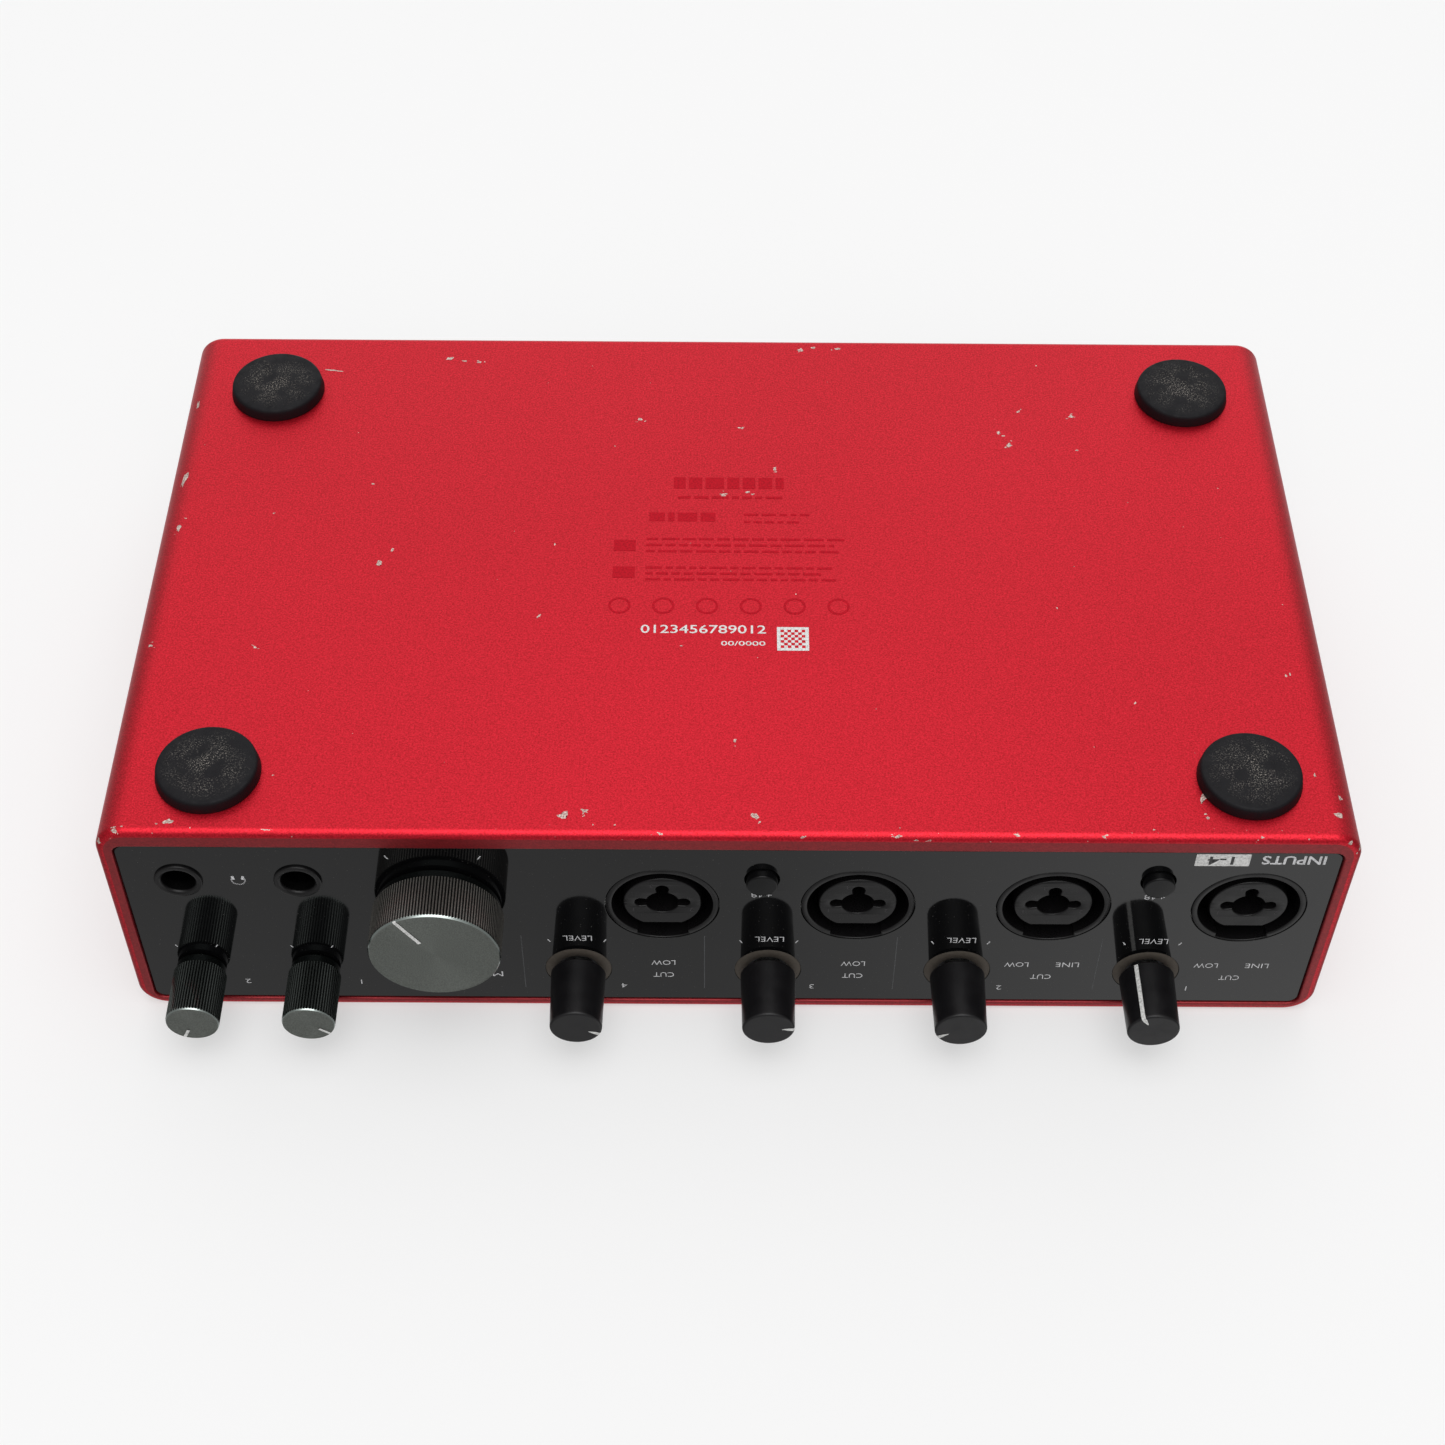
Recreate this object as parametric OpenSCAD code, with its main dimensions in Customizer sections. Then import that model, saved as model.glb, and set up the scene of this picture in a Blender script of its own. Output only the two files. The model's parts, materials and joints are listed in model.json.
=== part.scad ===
// Desktop audio interface: four microphone/line inputs, two headphone outputs.
// +Z up, front towards -Y, +X to the right seen from the front, millimetres.
// The origin is under the middle of the whole unit, on the surface it stands on.

/* [Case] */
// Width of the case
case_w = 242; // [240:0.5:244]
// Height of the case without its feet
case_h = 57.7; // [57:0.1:59]
// Depth of the case sleeve, rim to rim
case_d = 143.4; // [142:0.1:150]
// Thickness of the sleeve's side walls
wall_side = 3.2; // [3:0.1:3.4]
// Thickness of the sleeve's bottom wall
wall_bottom = 4.6; // [4.4:0.1:4.8]
// Thickness of the sleeve's top wall
wall_top = 2.5; // [2.4:0.1:2.8]
// Radius of the sleeve's long corners
case_corner_r = 6; // [5:0.5:7]
// Radius of the rolled edge around each end
rim_r = 2; // [1.5:0.1:2.2]
// How far the front panel lies behind the rim
panel_recess = 0.4; // [0.2:0.1:0.8]
// How far the rear panel lies behind the rim
rear_recess = 3; // [2.6:0.1:3.4]

/* [Feet] */
// Radius of a rubber foot
foot_r = 10.2; // [9:0.1:11]
// Height of a rubber foot
foot_h = 2.8; // [2.4:0.1:3.2]
// Distance of the feet from the middle, across
foot_x = 100.5; // [90:0.5:105]
// Distance of the front feet behind the front rim
foot_front = 14.6; // [12:0.1:20]
// Distance of the rear feet behind the front rim
foot_rear = 124.9; // [118:0.1:128]

/* [Front panel] */
// Thickness of the gloss front panel
panel_t = 2; // [1.8:0.1:2.2]
// Gap around the front panel
panel_gap = 0.3; // [0.2:0.05:0.5]
// Thickness of the steel plate behind it
subpanel_t = 1.2; // [1:0.1:1.4]

/* [Input sockets] */
// Distance from one input channel to the next
channel_pitch = 38.4; // [38.2:0.05:38.6]
// Place of the first socket across
combo_x0 = -102.25; // [-103:0.05:-101.5]
// Height of the sockets above the table
combo_z = 25.4; // [25:0.1:26]
// Outer radius of the socket's flange
combo_flange_r = 11.18; // [11:0.01:11.3]
// Outer radius of the groove for a microphone plug
combo_groove_r = 9.93; // [9.8:0.01:10.1]
// Radius of the insert in the middle
combo_insert_r = 7.68; // [7.5:0.01:7.8]
// Radius of the hole for a quarter inch plug
quarter_inch_r = 3.2; // [3.18:0.01:3.3]
// Radius of the circle that the three pin holes lie on
pin_circle_r = 4.15; // [4.1:0.01:4.2]
// Radius of a pin hole
pin_hole_r = 1.25; // [1.2:0.01:1.3]

/* [Knobs] */
// Place of the first gain knob across
gain_x0 = -85; // [-85.5:0.05:-84.5]
// Height of the gain knobs
gain_z = 47.3; // [47:0.1:47.5]
// Radius of a gain knob next to the panel
gain_base_r = 5.55; // [5.4:0.01:5.7]
// Radius of a gain knob at its tip
gain_tip_r = 5.25; // [5.1:0.01:5.35]
// How far a gain knob reaches out from the panel
gain_reach = 14.55; // [13.5:0.05:15.5]
// Outer radius of the light ring around a gain knob
halo_r = 6.67; // [6.6:0.01:6.9]
// Inner radius of the light ring
halo_inner_r = 5.5; // [5.3:0.01:5.6]
// Place of the monitor knob across
monitor_x = 56.8; // [56:0.1:57.5]
// Height of the monitor knob
monitor_z = 26; // [25.5:0.1:26.5]
// Radius of the monitor knob
monitor_r = 12.9; // [12:0.1:13.5]
// How far the monitor knob reaches out from the panel
monitor_reach = 12; // [11:0.1:13]
// Radius of a headphone knob
phones_knob_r = 5.32; // [5.1:0.01:5.6]
// How far a headphone knob reaches out from the panel
phones_reach = 14.05; // [13:0.05:14.5]
// Height of the headphone knobs
phones_knob_z = 47.15; // [47:0.05:47.5]
// Radius of the round control shafts
shaft_r = 3; // [2.9:0.05:3.1]
// Play of a shaft or stem in its bearing
bearing_play = 0.06; // [0.03:0.01:0.09]

/* [Headphone sockets] */
// Place of the first headphone output across
phones_x0 = 83.5; // [83:0.05:84]
// Distance between the two headphone outputs
phones_pitch = 23.15; // [22.5:0.05:23.5]
// Height of the headphone sockets
phones_jack_z = 18.2; // [18.1:0.1:18.4]
// Outer radius of a headphone socket's collar
phones_collar_r = 4.7; // [4.5:0.05:5]

/* [Phantom power buttons] */
// Distance of a button to the right of its gain knob
button_dx = 1.7; // [1.5:0.1:1.9]
// Height of the buttons
button_z = 17; // [16.8:0.1:17.2]
// Radius of a button
button_r = 3.08; // [2.9:0.01:3.1]
// Radius of the hole around a button
button_hole_r = 3.45; // [3.4:0.01:3.6]
// How far a button stands out of the panel
button_reach = 1.8; // [1.5:0.1:2.2]
// How far a button can be pressed
button_travel = 1.2; // [0.8:0.1:1.4]

/* [Rear panel] */
// Thickness of the rear panel
rear_t = 1.5; // [1.2:0.1:1.6]
// Height of the middle row of rear sockets
rear_mid_z = 31; // [30.5:0.1:31.5]
// Height of the lower row of rear jacks
jack_low_z = 20; // [20:0.1:20.5]
// Height of the upper row of rear jacks
jack_high_z = 42.5; // [42:0.1:43]
// Distance between the rear jack columns
jack_pitch = 23; // [22:0.1:23.5]
// How far the coaxial sockets reach out behind the rear rim
rear_reach = 2.95; // [2.6:0.05:3.4]
// Total tilt of the power switch's rocker, in degrees
rocker_swing = 20; // [16:1:22]

/* [Hidden] */
$fn = 64;
e = 0.5;

// where each knob's pointer stands at rest, clockwise from straight up
gain_turn = [150, 62, -90, -67];
phones_turn = [-52, 25];
monitor_turn = 148;

// planes from front to back; the total depth is centred on the origin
total_d = gain_reach - panel_recess + case_d + rear_reach;
rim_y = -total_d / 2 + gain_reach - panel_recess;
face_y = rim_y + panel_recess;
subpanel_y = face_y + panel_t;
inner_y = subpanel_y + subpanel_t;
board_y = inner_y + 8;
front_board_t = 1.6;
rear_rim_y = rim_y + case_d;
rear_face_y = rear_rim_y - rear_recess;
rear_inner_y = rear_face_y - rear_t;
tip_y = total_d / 2;

// heights and widths inside the sleeve
case_z0 = foot_h;
case_z1 = foot_h + case_h;
open_x = case_w / 2 - wall_side;
open_z0 = case_z0 + wall_bottom;
open_z1 = case_z1 - wall_top;
tray_t = 1.2;
tray_z1 = open_z0 + tray_t;
board_z0 = tray_z1 + 3.4;
board_z1 = board_z0 + 1.6;
housing_z0 = board_z1 + 0.1;

port_r = 2.8;
screw_r = 1.5;
port_x = open_x - port_r + 0.2;
port_zs = [open_z0 + port_r - 0.2, open_z1 - port_r + 0.2];

combo_x = [for (i = [0:3]) combo_x0 + i * channel_pitch];
gain_x = [for (i = [0:3]) gain_x0 + i * channel_pitch];
phones_x = [for (i = [0:1]) phones_x0 + i * phones_pitch];
button_x = [gain_x[0] + button_dx, gain_x[2] + button_dx];

combo_back_y = face_y + 20;
combo_end_y = face_y + 34;
insert_y = face_y + 0.5;
jack_depth = 31;
phones_end_y = face_y + jack_depth + 2;

switch_x = 99;
lock_x = 111;
dc_x = 83;
usb_x = 69;
usb_z = board_z1 + 1.9;
midi_x = [50, 28.5];
coax_x = 10.5;
coax_zs = [21, 41];
optical_x = -6;
jack_x = [for (i = [0:3]) -27 - i * jack_pitch];
jack_mouth_y = rear_face_y + 2.4;

board_screw_spots = [for (x = [-106, 0, 106], y = [-24, 32]) [x, y]];

// ---- helpers ----

// a flat outline drawn in X and Z, made solid from y0 back to y1
module slab(y0, y1) {
    translate([0, y1, 0]) rotate([90, 0, 0]) linear_extrude(y1 - y0) children();
}

// a round bar along Y at (x, z)
module drum(x, z, y0, y1, r) {
    translate([x, y1, z]) rotate([90, 0, 0]) cylinder(r = r, h = y1 - y0);
}

// a turned shape whose axis points out of the front panel
module turned(x, z, y) {
    translate([x, y, z]) rotate([90, 0, 0]) rotate_extrude() children();
}

// a rectangle with round corners
module round_rect(x0, z0, x1, z1, r) {
    translate([x0 + r, z0]) square([x1 - x0 - 2 * r, z1 - z0]);
    translate([x0, z0 + r]) square([x1 - x0, z1 - z0 - 2 * r]);
    for (x = [x0 + r, x1 - r], z = [z0 + r, z1 - r]) translate([x, z]) circle(r);
}

// a box between two corners
module box(low, high) {
    translate(low) cube(high - low);
}

// a circle with one flat side, as a control shaft has
module d_outline(r, play = 0) {
    difference() {
        circle(r + play);
        translate([-r - 1, r * 0.6 + play]) square([2 * r + 2, r + 1]);
    }
}

// ---- case ----

module sleeve_outside() {
    steps = 6;
    hull() for (k = [0:steps]) {
        a = 90 * k / steps;
        inset = rim_r * (1 - sin(a));
        lift = rim_r * (1 - cos(a));
        slab(rim_y + lift, rear_rim_y - lift)
            round_rect(-case_w / 2 + inset, case_z0 + inset, case_w / 2 - inset,
                case_z1 - inset, case_corner_r - inset, $fn = 32);
    }
}

module case_sleeve() {
    color("firebrick") difference() {
        union() {
            difference() {
                sleeve_outside();
                slab(rim_y - 1, rear_rim_y + 1)
                    round_rect(-open_x, open_z0, open_x, open_z1, 2);
            }
            for (x = [-port_x, port_x], z = port_zs)
                drum(x, z, inner_y, rear_inner_y, port_r);
        }
        for (x = [-port_x, port_x], z = port_zs)
            drum(x, z, inner_y - 1, rear_inner_y + 1, screw_r);
    }
}

module foot(x, y) {
    edge = 0.7;
    translate([x, y, 0]) rotate_extrude()
        polygon([[0, 0], [foot_r - edge, 0], [foot_r - 0.2, 0.3], [foot_r, edge],
            [foot_r, foot_h], [0, foot_h]]);
}

module feet() {
    color([0.08, 0.09, 0.1])
        for (x = [-foot_x, foot_x], d = [foot_front, foot_rear]) foot(x, rim_y + d);
}

// ---- front panel and what it carries ----

module front_panel() {
    color([0.07, 0.07, 0.08]) difference() {
        slab(face_y, subpanel_y)
            round_rect(-open_x + panel_gap, open_z0 + panel_gap, open_x - panel_gap,
                open_z1 - panel_gap, 2);
        for (x = combo_x) drum(x, combo_z, face_y - 1, subpanel_y + 1, combo_flange_r + 0.1);
        for (x = gain_x) drum(x, gain_z, face_y - 1, subpanel_y + 1, halo_r);
        for (x = button_x) drum(x, button_z, face_y - 1, subpanel_y + 1, button_hole_r);
        for (x = phones_x) {
            drum(x, phones_knob_z, face_y - 1, subpanel_y + 1, 4.1);
            drum(x, phones_jack_z, face_y - 1, subpanel_y + 1, 4.25);
        }
        drum(monitor_x, monitor_z, face_y - 1, subpanel_y + 1, 6.5);
        for (x = [-port_x, port_x], z = port_zs)
            drum(x, z, subpanel_y - 1.2, subpanel_y + 1, port_r - 0.1);
    }
}

module front_subpanel() {
    color("silver") difference() {
        slab(subpanel_y, inner_y) round_rect(-open_x, open_z0, open_x, open_z1, 2);
        for (x = combo_x) drum(x, combo_z, subpanel_y - 1, inner_y + 1, 11.05);
        for (x = gain_x) drum(x, gain_z, subpanel_y - 1, inner_y + 1, halo_r);
        for (x = button_x) drum(x, button_z, subpanel_y - 1, inner_y + 1, button_hole_r);
        for (x = phones_x) {
            drum(x, phones_knob_z, subpanel_y - 1, inner_y + 1, 4);
            drum(x, phones_jack_z, subpanel_y - 1, inner_y + 1, 4.2);
        }
        drum(monitor_x, monitor_z, subpanel_y - 1, inner_y + 1, 3.6);
        for (x = [-port_x, port_x], z = port_zs)
            drum(x, z, subpanel_y - 1, inner_y + 1, screw_r);
    }
}

// light guide flush with the panel around one gain knob
module gain_halo(i) {
    color([0.35, 0.32, 0.28, 0.9]) difference() {
        drum(gain_x[i], gain_z, face_y, inner_y, halo_r);
        drum(gain_x[i], gain_z, face_y - 1, inner_y + 1, halo_inner_r);
    }
}

// housing of one input socket: flange, groove and closed back with the plug's end bore
module combo_shell(i) {
    x = combo_x[i];
    color([0.05, 0.05, 0.055]) difference() {
        union() {
            drum(x, combo_z, face_y, subpanel_y, combo_flange_r);
            drum(x, combo_z, subpanel_y - e, combo_end_y, 11);
        }
        drum(x, combo_z, face_y - 1, combo_back_y, combo_groove_r);
        drum(x, combo_z, combo_back_y - 1, face_y + jack_depth, quarter_inch_r + 0.2);
        intersection() {
            drum(x, combo_z, face_y - 1, face_y + 9, 10.75);
            box([x - 5.05, face_y - 1, combo_z], [x + 5.05, face_y + 9, combo_z + 12]);
        }
    }
}

// directions of the three pin holes, counterclockwise from the right
pin_angles = [0, 180, 270];

// round insert with the quarter inch hole and three pin holes
module combo_insert(i) {
    x = combo_x[i];
    color([0.07, 0.07, 0.075]) difference() {
        drum(x, combo_z, insert_y, combo_back_y, combo_insert_r);
        drum(x, combo_z, insert_y - 1, combo_back_y + 1, quarter_inch_r);
        for (a = pin_angles)
            drum(x + pin_circle_r * cos(a), combo_z + pin_circle_r * sin(a),
                insert_y - 1, insert_y + 15, pin_hole_r);
        box([x - 8, insert_y - 1, combo_z + 6.67], [x + 8, insert_y + 12, combo_z + 8]);
    }
}

// spring sockets at the bottom of the pin holes, clear of the plug bore
module combo_contacts() {
    color("gold") for (x = combo_x, a = pin_angles) {
        dx = (pin_circle_r + 0.25) * cos(a);
        dz = (pin_circle_r + 0.25) * sin(a);
        difference() {
            drum(x + dx, combo_z + dz, insert_y + 4, insert_y + 15, 0.95);
            drum(x + dx, combo_z + dz, insert_y + 3, insert_y + 14, 0.7);
        }
    }
}

// body and bearing of one rotary control on the front board
module pot(x, z, half_w, half_h, bush_r, bush_front) {
    difference() {
        union() {
            box([x - half_w, inner_y + 0.2, z - half_h], [x + half_w, board_y, z + half_h]);
            drum(x, z, bush_front, inner_y + e, bush_r);
        }
        drum(x, z, bush_front - 1, board_y - 1, shaft_r + bearing_play);
    }
}

module gain_pots() {
    color("dimgray") for (x = gain_x) pot(x, gain_z, 4.8, 5.6, 4.3, face_y + 1);
}

module headphone_pots() {
    color("dimgray") for (x = phones_x) pot(x, phones_knob_z, 4.8, 5.6, 3.9, face_y + 1);
}

module monitor_pot() {
    color("dimgray") pot(monitor_x, monitor_z, 8, 8, 3.5, face_y - 1.5);
}

module monitor_pot_nut() {
    color("silver") difference() {
        drum(monitor_x, monitor_z, face_y, subpanel_y, 5.7, $fn = 6);
        drum(monitor_x, monitor_z, face_y - 1, subpanel_y + 1, 3.5);
    }
}

// round control shaft with a flat, from inside the control to inside the knob
module shaft(x, z, turn, reach) {
    color("silver") difference() {
        drum(x, z, face_y - reach, board_y - 1.2, shaft_r);
        translate([x, face_y, z]) rotate([0, turn, 0])
            box([-shaft_r - 1, -reach - 1, shaft_r * 0.6], [shaft_r + 1, 0, shaft_r + 1]);
    }
}

module gain_knob(i) {
    color([0.06, 0.06, 0.065]) difference() {
        turned(gain_x[i], gain_z, face_y)
            polygon([[0, 1.4], [gain_base_r - 0.2, 1.4], [gain_base_r, 1.6],
                [gain_tip_r, gain_reach - 0.5], [gain_tip_r - 0.15, gain_reach - 0.15],
                [gain_tip_r - 0.5, gain_reach], [0, gain_reach]]);
        slab(face_y - gain_reach + 3, face_y) translate([gain_x[i], gain_z])
            rotate(-gain_turn[i]) d_outline(shaft_r);
    }
}

module headphone_knob(i) {
    r = phones_knob_r;
    color([0.22, 0.24, 0.23]) difference() {
        turned(phones_x[i], phones_knob_z, face_y)
            polygon([[0, 0.4], [4.6, 0.4], [4.6, 2.66], [r, 2.66], [r, phones_reach - 0.35],
                [r - 0.35, phones_reach], [0, phones_reach]]);
        slab(face_y - phones_reach + 3, face_y) translate([phones_x[i], phones_knob_z])
            rotate(-phones_turn[i]) d_outline(shaft_r);
    }
}

module monitor_knob() {
    r = monitor_r;
    color([0.22, 0.24, 0.23]) difference() {
        turned(monitor_x, monitor_z, face_y)
            polygon([[0, 3.5], [8, 3.5], [8, 0.4], [11.6, 0.4], [11.6, 2.48], [r, 2.48],
                [r, monitor_reach - 0.5], [r - 0.5, monitor_reach], [0, monitor_reach]]);
        slab(face_y - monitor_reach + 3, face_y) translate([monitor_x, monitor_z])
            rotate(-monitor_turn) d_outline(shaft_r);
    }
}

// push button: cap, flange that holds it behind the plate, and stem
module phantom_button(i) {
    x = button_x[i];
    color([0.05, 0.05, 0.055]) {
        turned(x, button_z, inner_y + 0.1)
            polygon([[0, 0], [button_r, 0], [button_r, button_reach + panel_t + subpanel_t - 0.2],
                [button_r - 0.3, button_reach + panel_t + subpanel_t + 0.1],
                [0, button_reach + panel_t + subpanel_t + 0.1]]);
        drum(x, button_z, inner_y + 0.1, inner_y + 1.1, 4.2);
        drum(x, button_z, inner_y + 1.1, board_y - 2.4, 1.5);
    }
}

module phantom_switches() {
    color("dimgray") for (x = button_x) difference() {
        box([x - 3.5, board_y - 3.2, button_z - 2.4], [x + 3.5, board_y, button_z + 3.5]);
        drum(x, button_z, board_y - 5, board_y - 0.8, 1.5 + bearing_play);
    }
}

module headphone_jack(i) {
    x = phones_x[i];
    z = phones_jack_z;
    color([0.05, 0.05, 0.055]) difference() {
        union() {
            turned(x, z, face_y)
                polygon([[0, 0], [phones_collar_r, 0], [phones_collar_r, 0.3],
                    [phones_collar_r - 0.3, 0.55], [0, 0.55]]);
            drum(x, z, face_y - 0.1, inner_y + e, 4.15);
            box([x - 7.2, inner_y, housing_z0], [x + 7.2, phones_end_y, z + 7.8]);
        }
        drum(x, z, face_y - 2, face_y + jack_depth, quarter_inch_r);
        turned(x, z, face_y)
            polygon([[0, -0.4], [quarter_inch_r - 0.2, -0.4], [quarter_inch_r + 0.7, 0.6], [0, 0.6]]);
    }
}

// ---- boards and chassis ----

module chassis_tray() {
    x = port_x - port_r - 0.6;
    color("silver") {
        box([-x, inner_y, open_z0], [x, rear_inner_y, tray_z1]);
        box([-x, inner_y, tray_z1], [x, inner_y + tray_t, tray_z1 + 3.2]);
        box([-x, rear_inner_y - tray_t, tray_z1], [x, rear_inner_y, tray_z1 + 3.2]);
    }
}

module main_board() {
    color("darkgreen") difference() {
        box([-111, board_y + 4, board_z0], [111, rear_inner_y - 3, board_z1]);
        for (p = board_screw_spots) translate([p[0], p[1], 0]) cylinder(r = screw_r, h = 40);
    }
}

module board_standoffs() {
    color("silver") for (p = board_screw_spots) translate([p[0], p[1], tray_z1]) difference() {
        cylinder(r = 3, h = board_z0 - tray_z1);
        translate([0, 0, 0.5]) cylinder(r = screw_r, h = board_z0);
    }
}

module board_screws() {
    color("gray") for (p = board_screw_spots) translate([p[0], p[1], 0]) {
        translate([0, 0, board_z1]) cylinder(r = 2.6, h = 1.5);
        translate([0, 0, tray_z1 + 0.8]) cylinder(r = screw_r, h = board_z1 - tray_z1);
    }
}

module front_board() {
    z0 = tray_z1 + 4;
    color("darkgreen") difference() {
        box([-111, board_y, z0], [111, board_y + front_board_t, open_z1 - 6.5]);
        for (x = combo_x) {
            drum(x, combo_z, board_y - 1, board_y + 3, 11.8);
            box([x - 11.8, board_y - 1, z0 - 1], [x + 11.8, board_y + 3, combo_z]);
        }
        for (x = phones_x)
            box([x - 7.8, board_y - 1, z0 - 1], [x + 7.8, board_y + 3, phones_jack_z + 8.4]);
    }
}

// small lamps behind the lettered indicators
module indicator_leds() {
    color("ivory") for (i = [0:3], dx = i < 2 ? [-22, -17, -12] : [-17]) {
        x = gain_x[i] + dx;
        box([x - 0.8, board_y - 0.7, 44.6], [x + 0.8, board_y, 45.4]);
        box([x - 0.8, board_y - 0.7, 48.6], [x + 0.8, board_y, 49.4]);
    }
}

// flat cable from the back of the front board down to the main board
module ribbon_cable() {
    y0 = board_y + front_board_t;
    t = 1;
    color("lightgray") translate([42, 0, 0]) rotate([90, 0, 90]) linear_extrude(26)
        polygon([[y0, 40], [y0 + 5, 40], [y0 + 7, 38], [y0 + 7, board_z1],
            [y0 + 7 + t, board_z1], [y0 + 7 + t, 38.4], [y0 + 5.4, 40 + t], [y0, 40 + t]]);
}

// machine screws that hold both panels to the sleeve's screw ports
module panel_screws() {
    color([0.1, 0.1, 0.1]) for (x = [-port_x, port_x], z = port_zs) {
        drum(x, z, subpanel_y - 1.1, subpanel_y, 2.6);
        drum(x, z, subpanel_y - e, inner_y + 8, screw_r);
        difference() {
            union() {
                turned(x, z, rear_face_y)
                    polygon([[0, 0], [2.6, 0], [2.6, -0.9], [1.8, -1.6], [0, -1.6]]);
                drum(x, z, rear_inner_y - 8, rear_face_y + e, screw_r);
            }
            for (turn = [0, 90]) translate([x, rear_face_y + 1.7, z]) rotate([0, turn, 0])
                cube([3, 1.6, 0.6], center = true);
        }
    }
}

// ---- rear panel and its sockets ----

module lock_slot(grow) {
    slab(rear_inner_y - grow, rear_face_y + grow)
        round_rect(lock_x - 1.5, rear_mid_z - 3.5, lock_x + 1.5, rear_mid_z + 3.5, 0.6);
}

module rear_panel() {
    color([0.09, 0.09, 0.1]) difference() {
        slab(rear_inner_y, rear_face_y)
            round_rect(-open_x + 0.1, open_z0 + 0.1, open_x - 0.1, open_z1 - 0.1, 2);
        for (x = [-port_x, port_x], z = port_zs)
            drum(x, z, rear_inner_y - 1, rear_face_y + 1, screw_r);
        for (x = jack_x, z = [jack_low_z, jack_high_z])
            drum(x, z, rear_inner_y - 1, rear_face_y + 1, 4.5);
        for (x = midi_x) drum(x, rear_mid_z, rear_inner_y - 1, rear_face_y + 1, 8.6);
        for (z = coax_zs) drum(coax_x, z, rear_inner_y - 1, rear_face_y + 1, 5.1);
        drum(dc_x, rear_mid_z, rear_inner_y - 1, rear_face_y + 1, 4.9);
        slab(rear_inner_y - 1, rear_face_y + 1) {
            round_rect(usb_x - 4.8, usb_z - 1.9, usb_x + 4.8, usb_z + 1.9, 1.8);
            translate([switch_x - 4.6, rear_mid_z - 7]) square([9.2, 14]);
            round_rect(optical_x - 6.1, rear_mid_z - 6.1, optical_x + 6.1, rear_mid_z + 6.1, 0.8);
        }
        lock_slot(1);
    }
}

module dc_inlet() {
    color([0.05, 0.05, 0.05]) {
        difference() {
            union() {
                box([dc_x - 4.8, rear_inner_y - 12, housing_z0],
                    [dc_x + 4.8, rear_inner_y, rear_mid_z + 5.5]);
                drum(dc_x, rear_mid_z, rear_inner_y - e, rear_face_y + 0.6, 4.8);
            }
            drum(dc_x, rear_mid_z, rear_inner_y - 9, rear_face_y + 2, 3.1);
        }
        drum(dc_x, rear_mid_z, rear_inner_y - 10, rear_face_y - 0.6, 1);
    }
}

rocker_y = rear_face_y - 1.2;

module power_switch_frame() {
    color([0.05, 0.05, 0.05]) difference() {
        union() {
            slab(rear_face_y, rear_face_y + 1.2)
                round_rect(switch_x - 5.4, rear_mid_z - 7.8, switch_x + 5.4, rear_mid_z + 7.8, 1);
            box([switch_x - 4.6, rear_inner_y - 11, rear_mid_z - 7],
                [switch_x + 4.6, rear_face_y + e, rear_mid_z + 7]);
        }
        box([switch_x - 3.7, rear_inner_y - 4, rear_mid_z - 6.2],
            [switch_x + 3.7, rear_face_y + 4, rear_mid_z + 6.2]);
        translate([switch_x - 4.3, rocker_y, rear_mid_z]) rotate([0, 90, 0])
            cylinder(r = 0.8 + bearing_play, h = 8.6);
    }
}

// rocker of the power switch, resting on one side of its swing
module power_rocker() {
    color([0.06, 0.06, 0.06]) translate([switch_x, rocker_y, rear_mid_z])
        rotate([rocker_swing / 2, 0, 0]) {
            translate([-3.5, 0, 0]) rotate([90, 0, 90]) linear_extrude(7)
                polygon([[-2.6, -3.6], [0, -5.6], [2.2, -5.6], [1.3, 0], [2.2, 5.6],
                    [0, 5.6], [-2.6, 3.6]]);
            translate([-4.2, 0, 0]) rotate([0, 90, 0]) cylinder(r = 0.8, h = 8.4);
        }
}

module usb_socket() {
    color("silver") difference() {
        slab(rear_inner_y - 7, rear_face_y + 0.5)
            round_rect(usb_x - 4.47, usb_z - 1.6, usb_x + 4.47, usb_z + 1.6, 1.58);
        slab(rear_inner_y - 6, rear_face_y + 2)
            round_rect(usb_x - 4.17, usb_z - 1.3, usb_x + 4.17, usb_z + 1.3, 1.28);
    }
    color([0.05, 0.05, 0.05]) slab(rear_inner_y - 6, rear_face_y - 0.3)
        translate([usb_x - 3.3, usb_z - 0.35]) square([6.6, 0.7]);
}

module midi_sockets() {
    color([0.05, 0.05, 0.055]) for (x = midi_x) difference() {
        union() {
            box([x - 9, rear_inner_y - 12, housing_z0], [x + 9, rear_inner_y, rear_mid_z + 9]);
            drum(x, rear_mid_z, rear_inner_y - e, rear_face_y + 0.6, 8.5);
        }
        difference() {
            drum(x, rear_mid_z, rear_inner_y - 7, rear_face_y + 2, 6.8);
            drum(x, rear_mid_z, rear_inner_y - 8, rear_face_y - 0.4, 5.8);
        }
        for (a = [0:45:180])
            drum(x + 3.7 * cos(a), rear_mid_z - 3.7 * sin(a) + 1, rear_inner_y - 6,
                rear_face_y + 2, 0.85);
    }
}

module coax_sockets() {
    color([0.06, 0.06, 0.06]) difference() {
        union() {
            box([coax_x - 6, rear_inner_y - 12, housing_z0],
                [coax_x + 6, rear_inner_y, coax_zs[1] + 7]);
            for (z = coax_zs) {
                drum(coax_x, z, rear_inner_y - e, rear_face_y + 0.8, 5);
                drum(coax_x, z, rear_inner_y - e, tip_y - 0.4, 3.2);
            }
        }
        for (z = coax_zs) drum(coax_x, z, rear_inner_y - 6, tip_y + 1, 1.6);
    }
}

module coax_sleeves() {
    color("orange") for (z = coax_zs) difference() {
        drum(coax_x, z, rear_face_y + 0.8, tip_y, 4.15);
        drum(coax_x, z, rear_face_y, tip_y + 1, 3.2);
    }
}

optical_hinge = [rear_inner_y - 1, rear_mid_z + 3.6];

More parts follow.
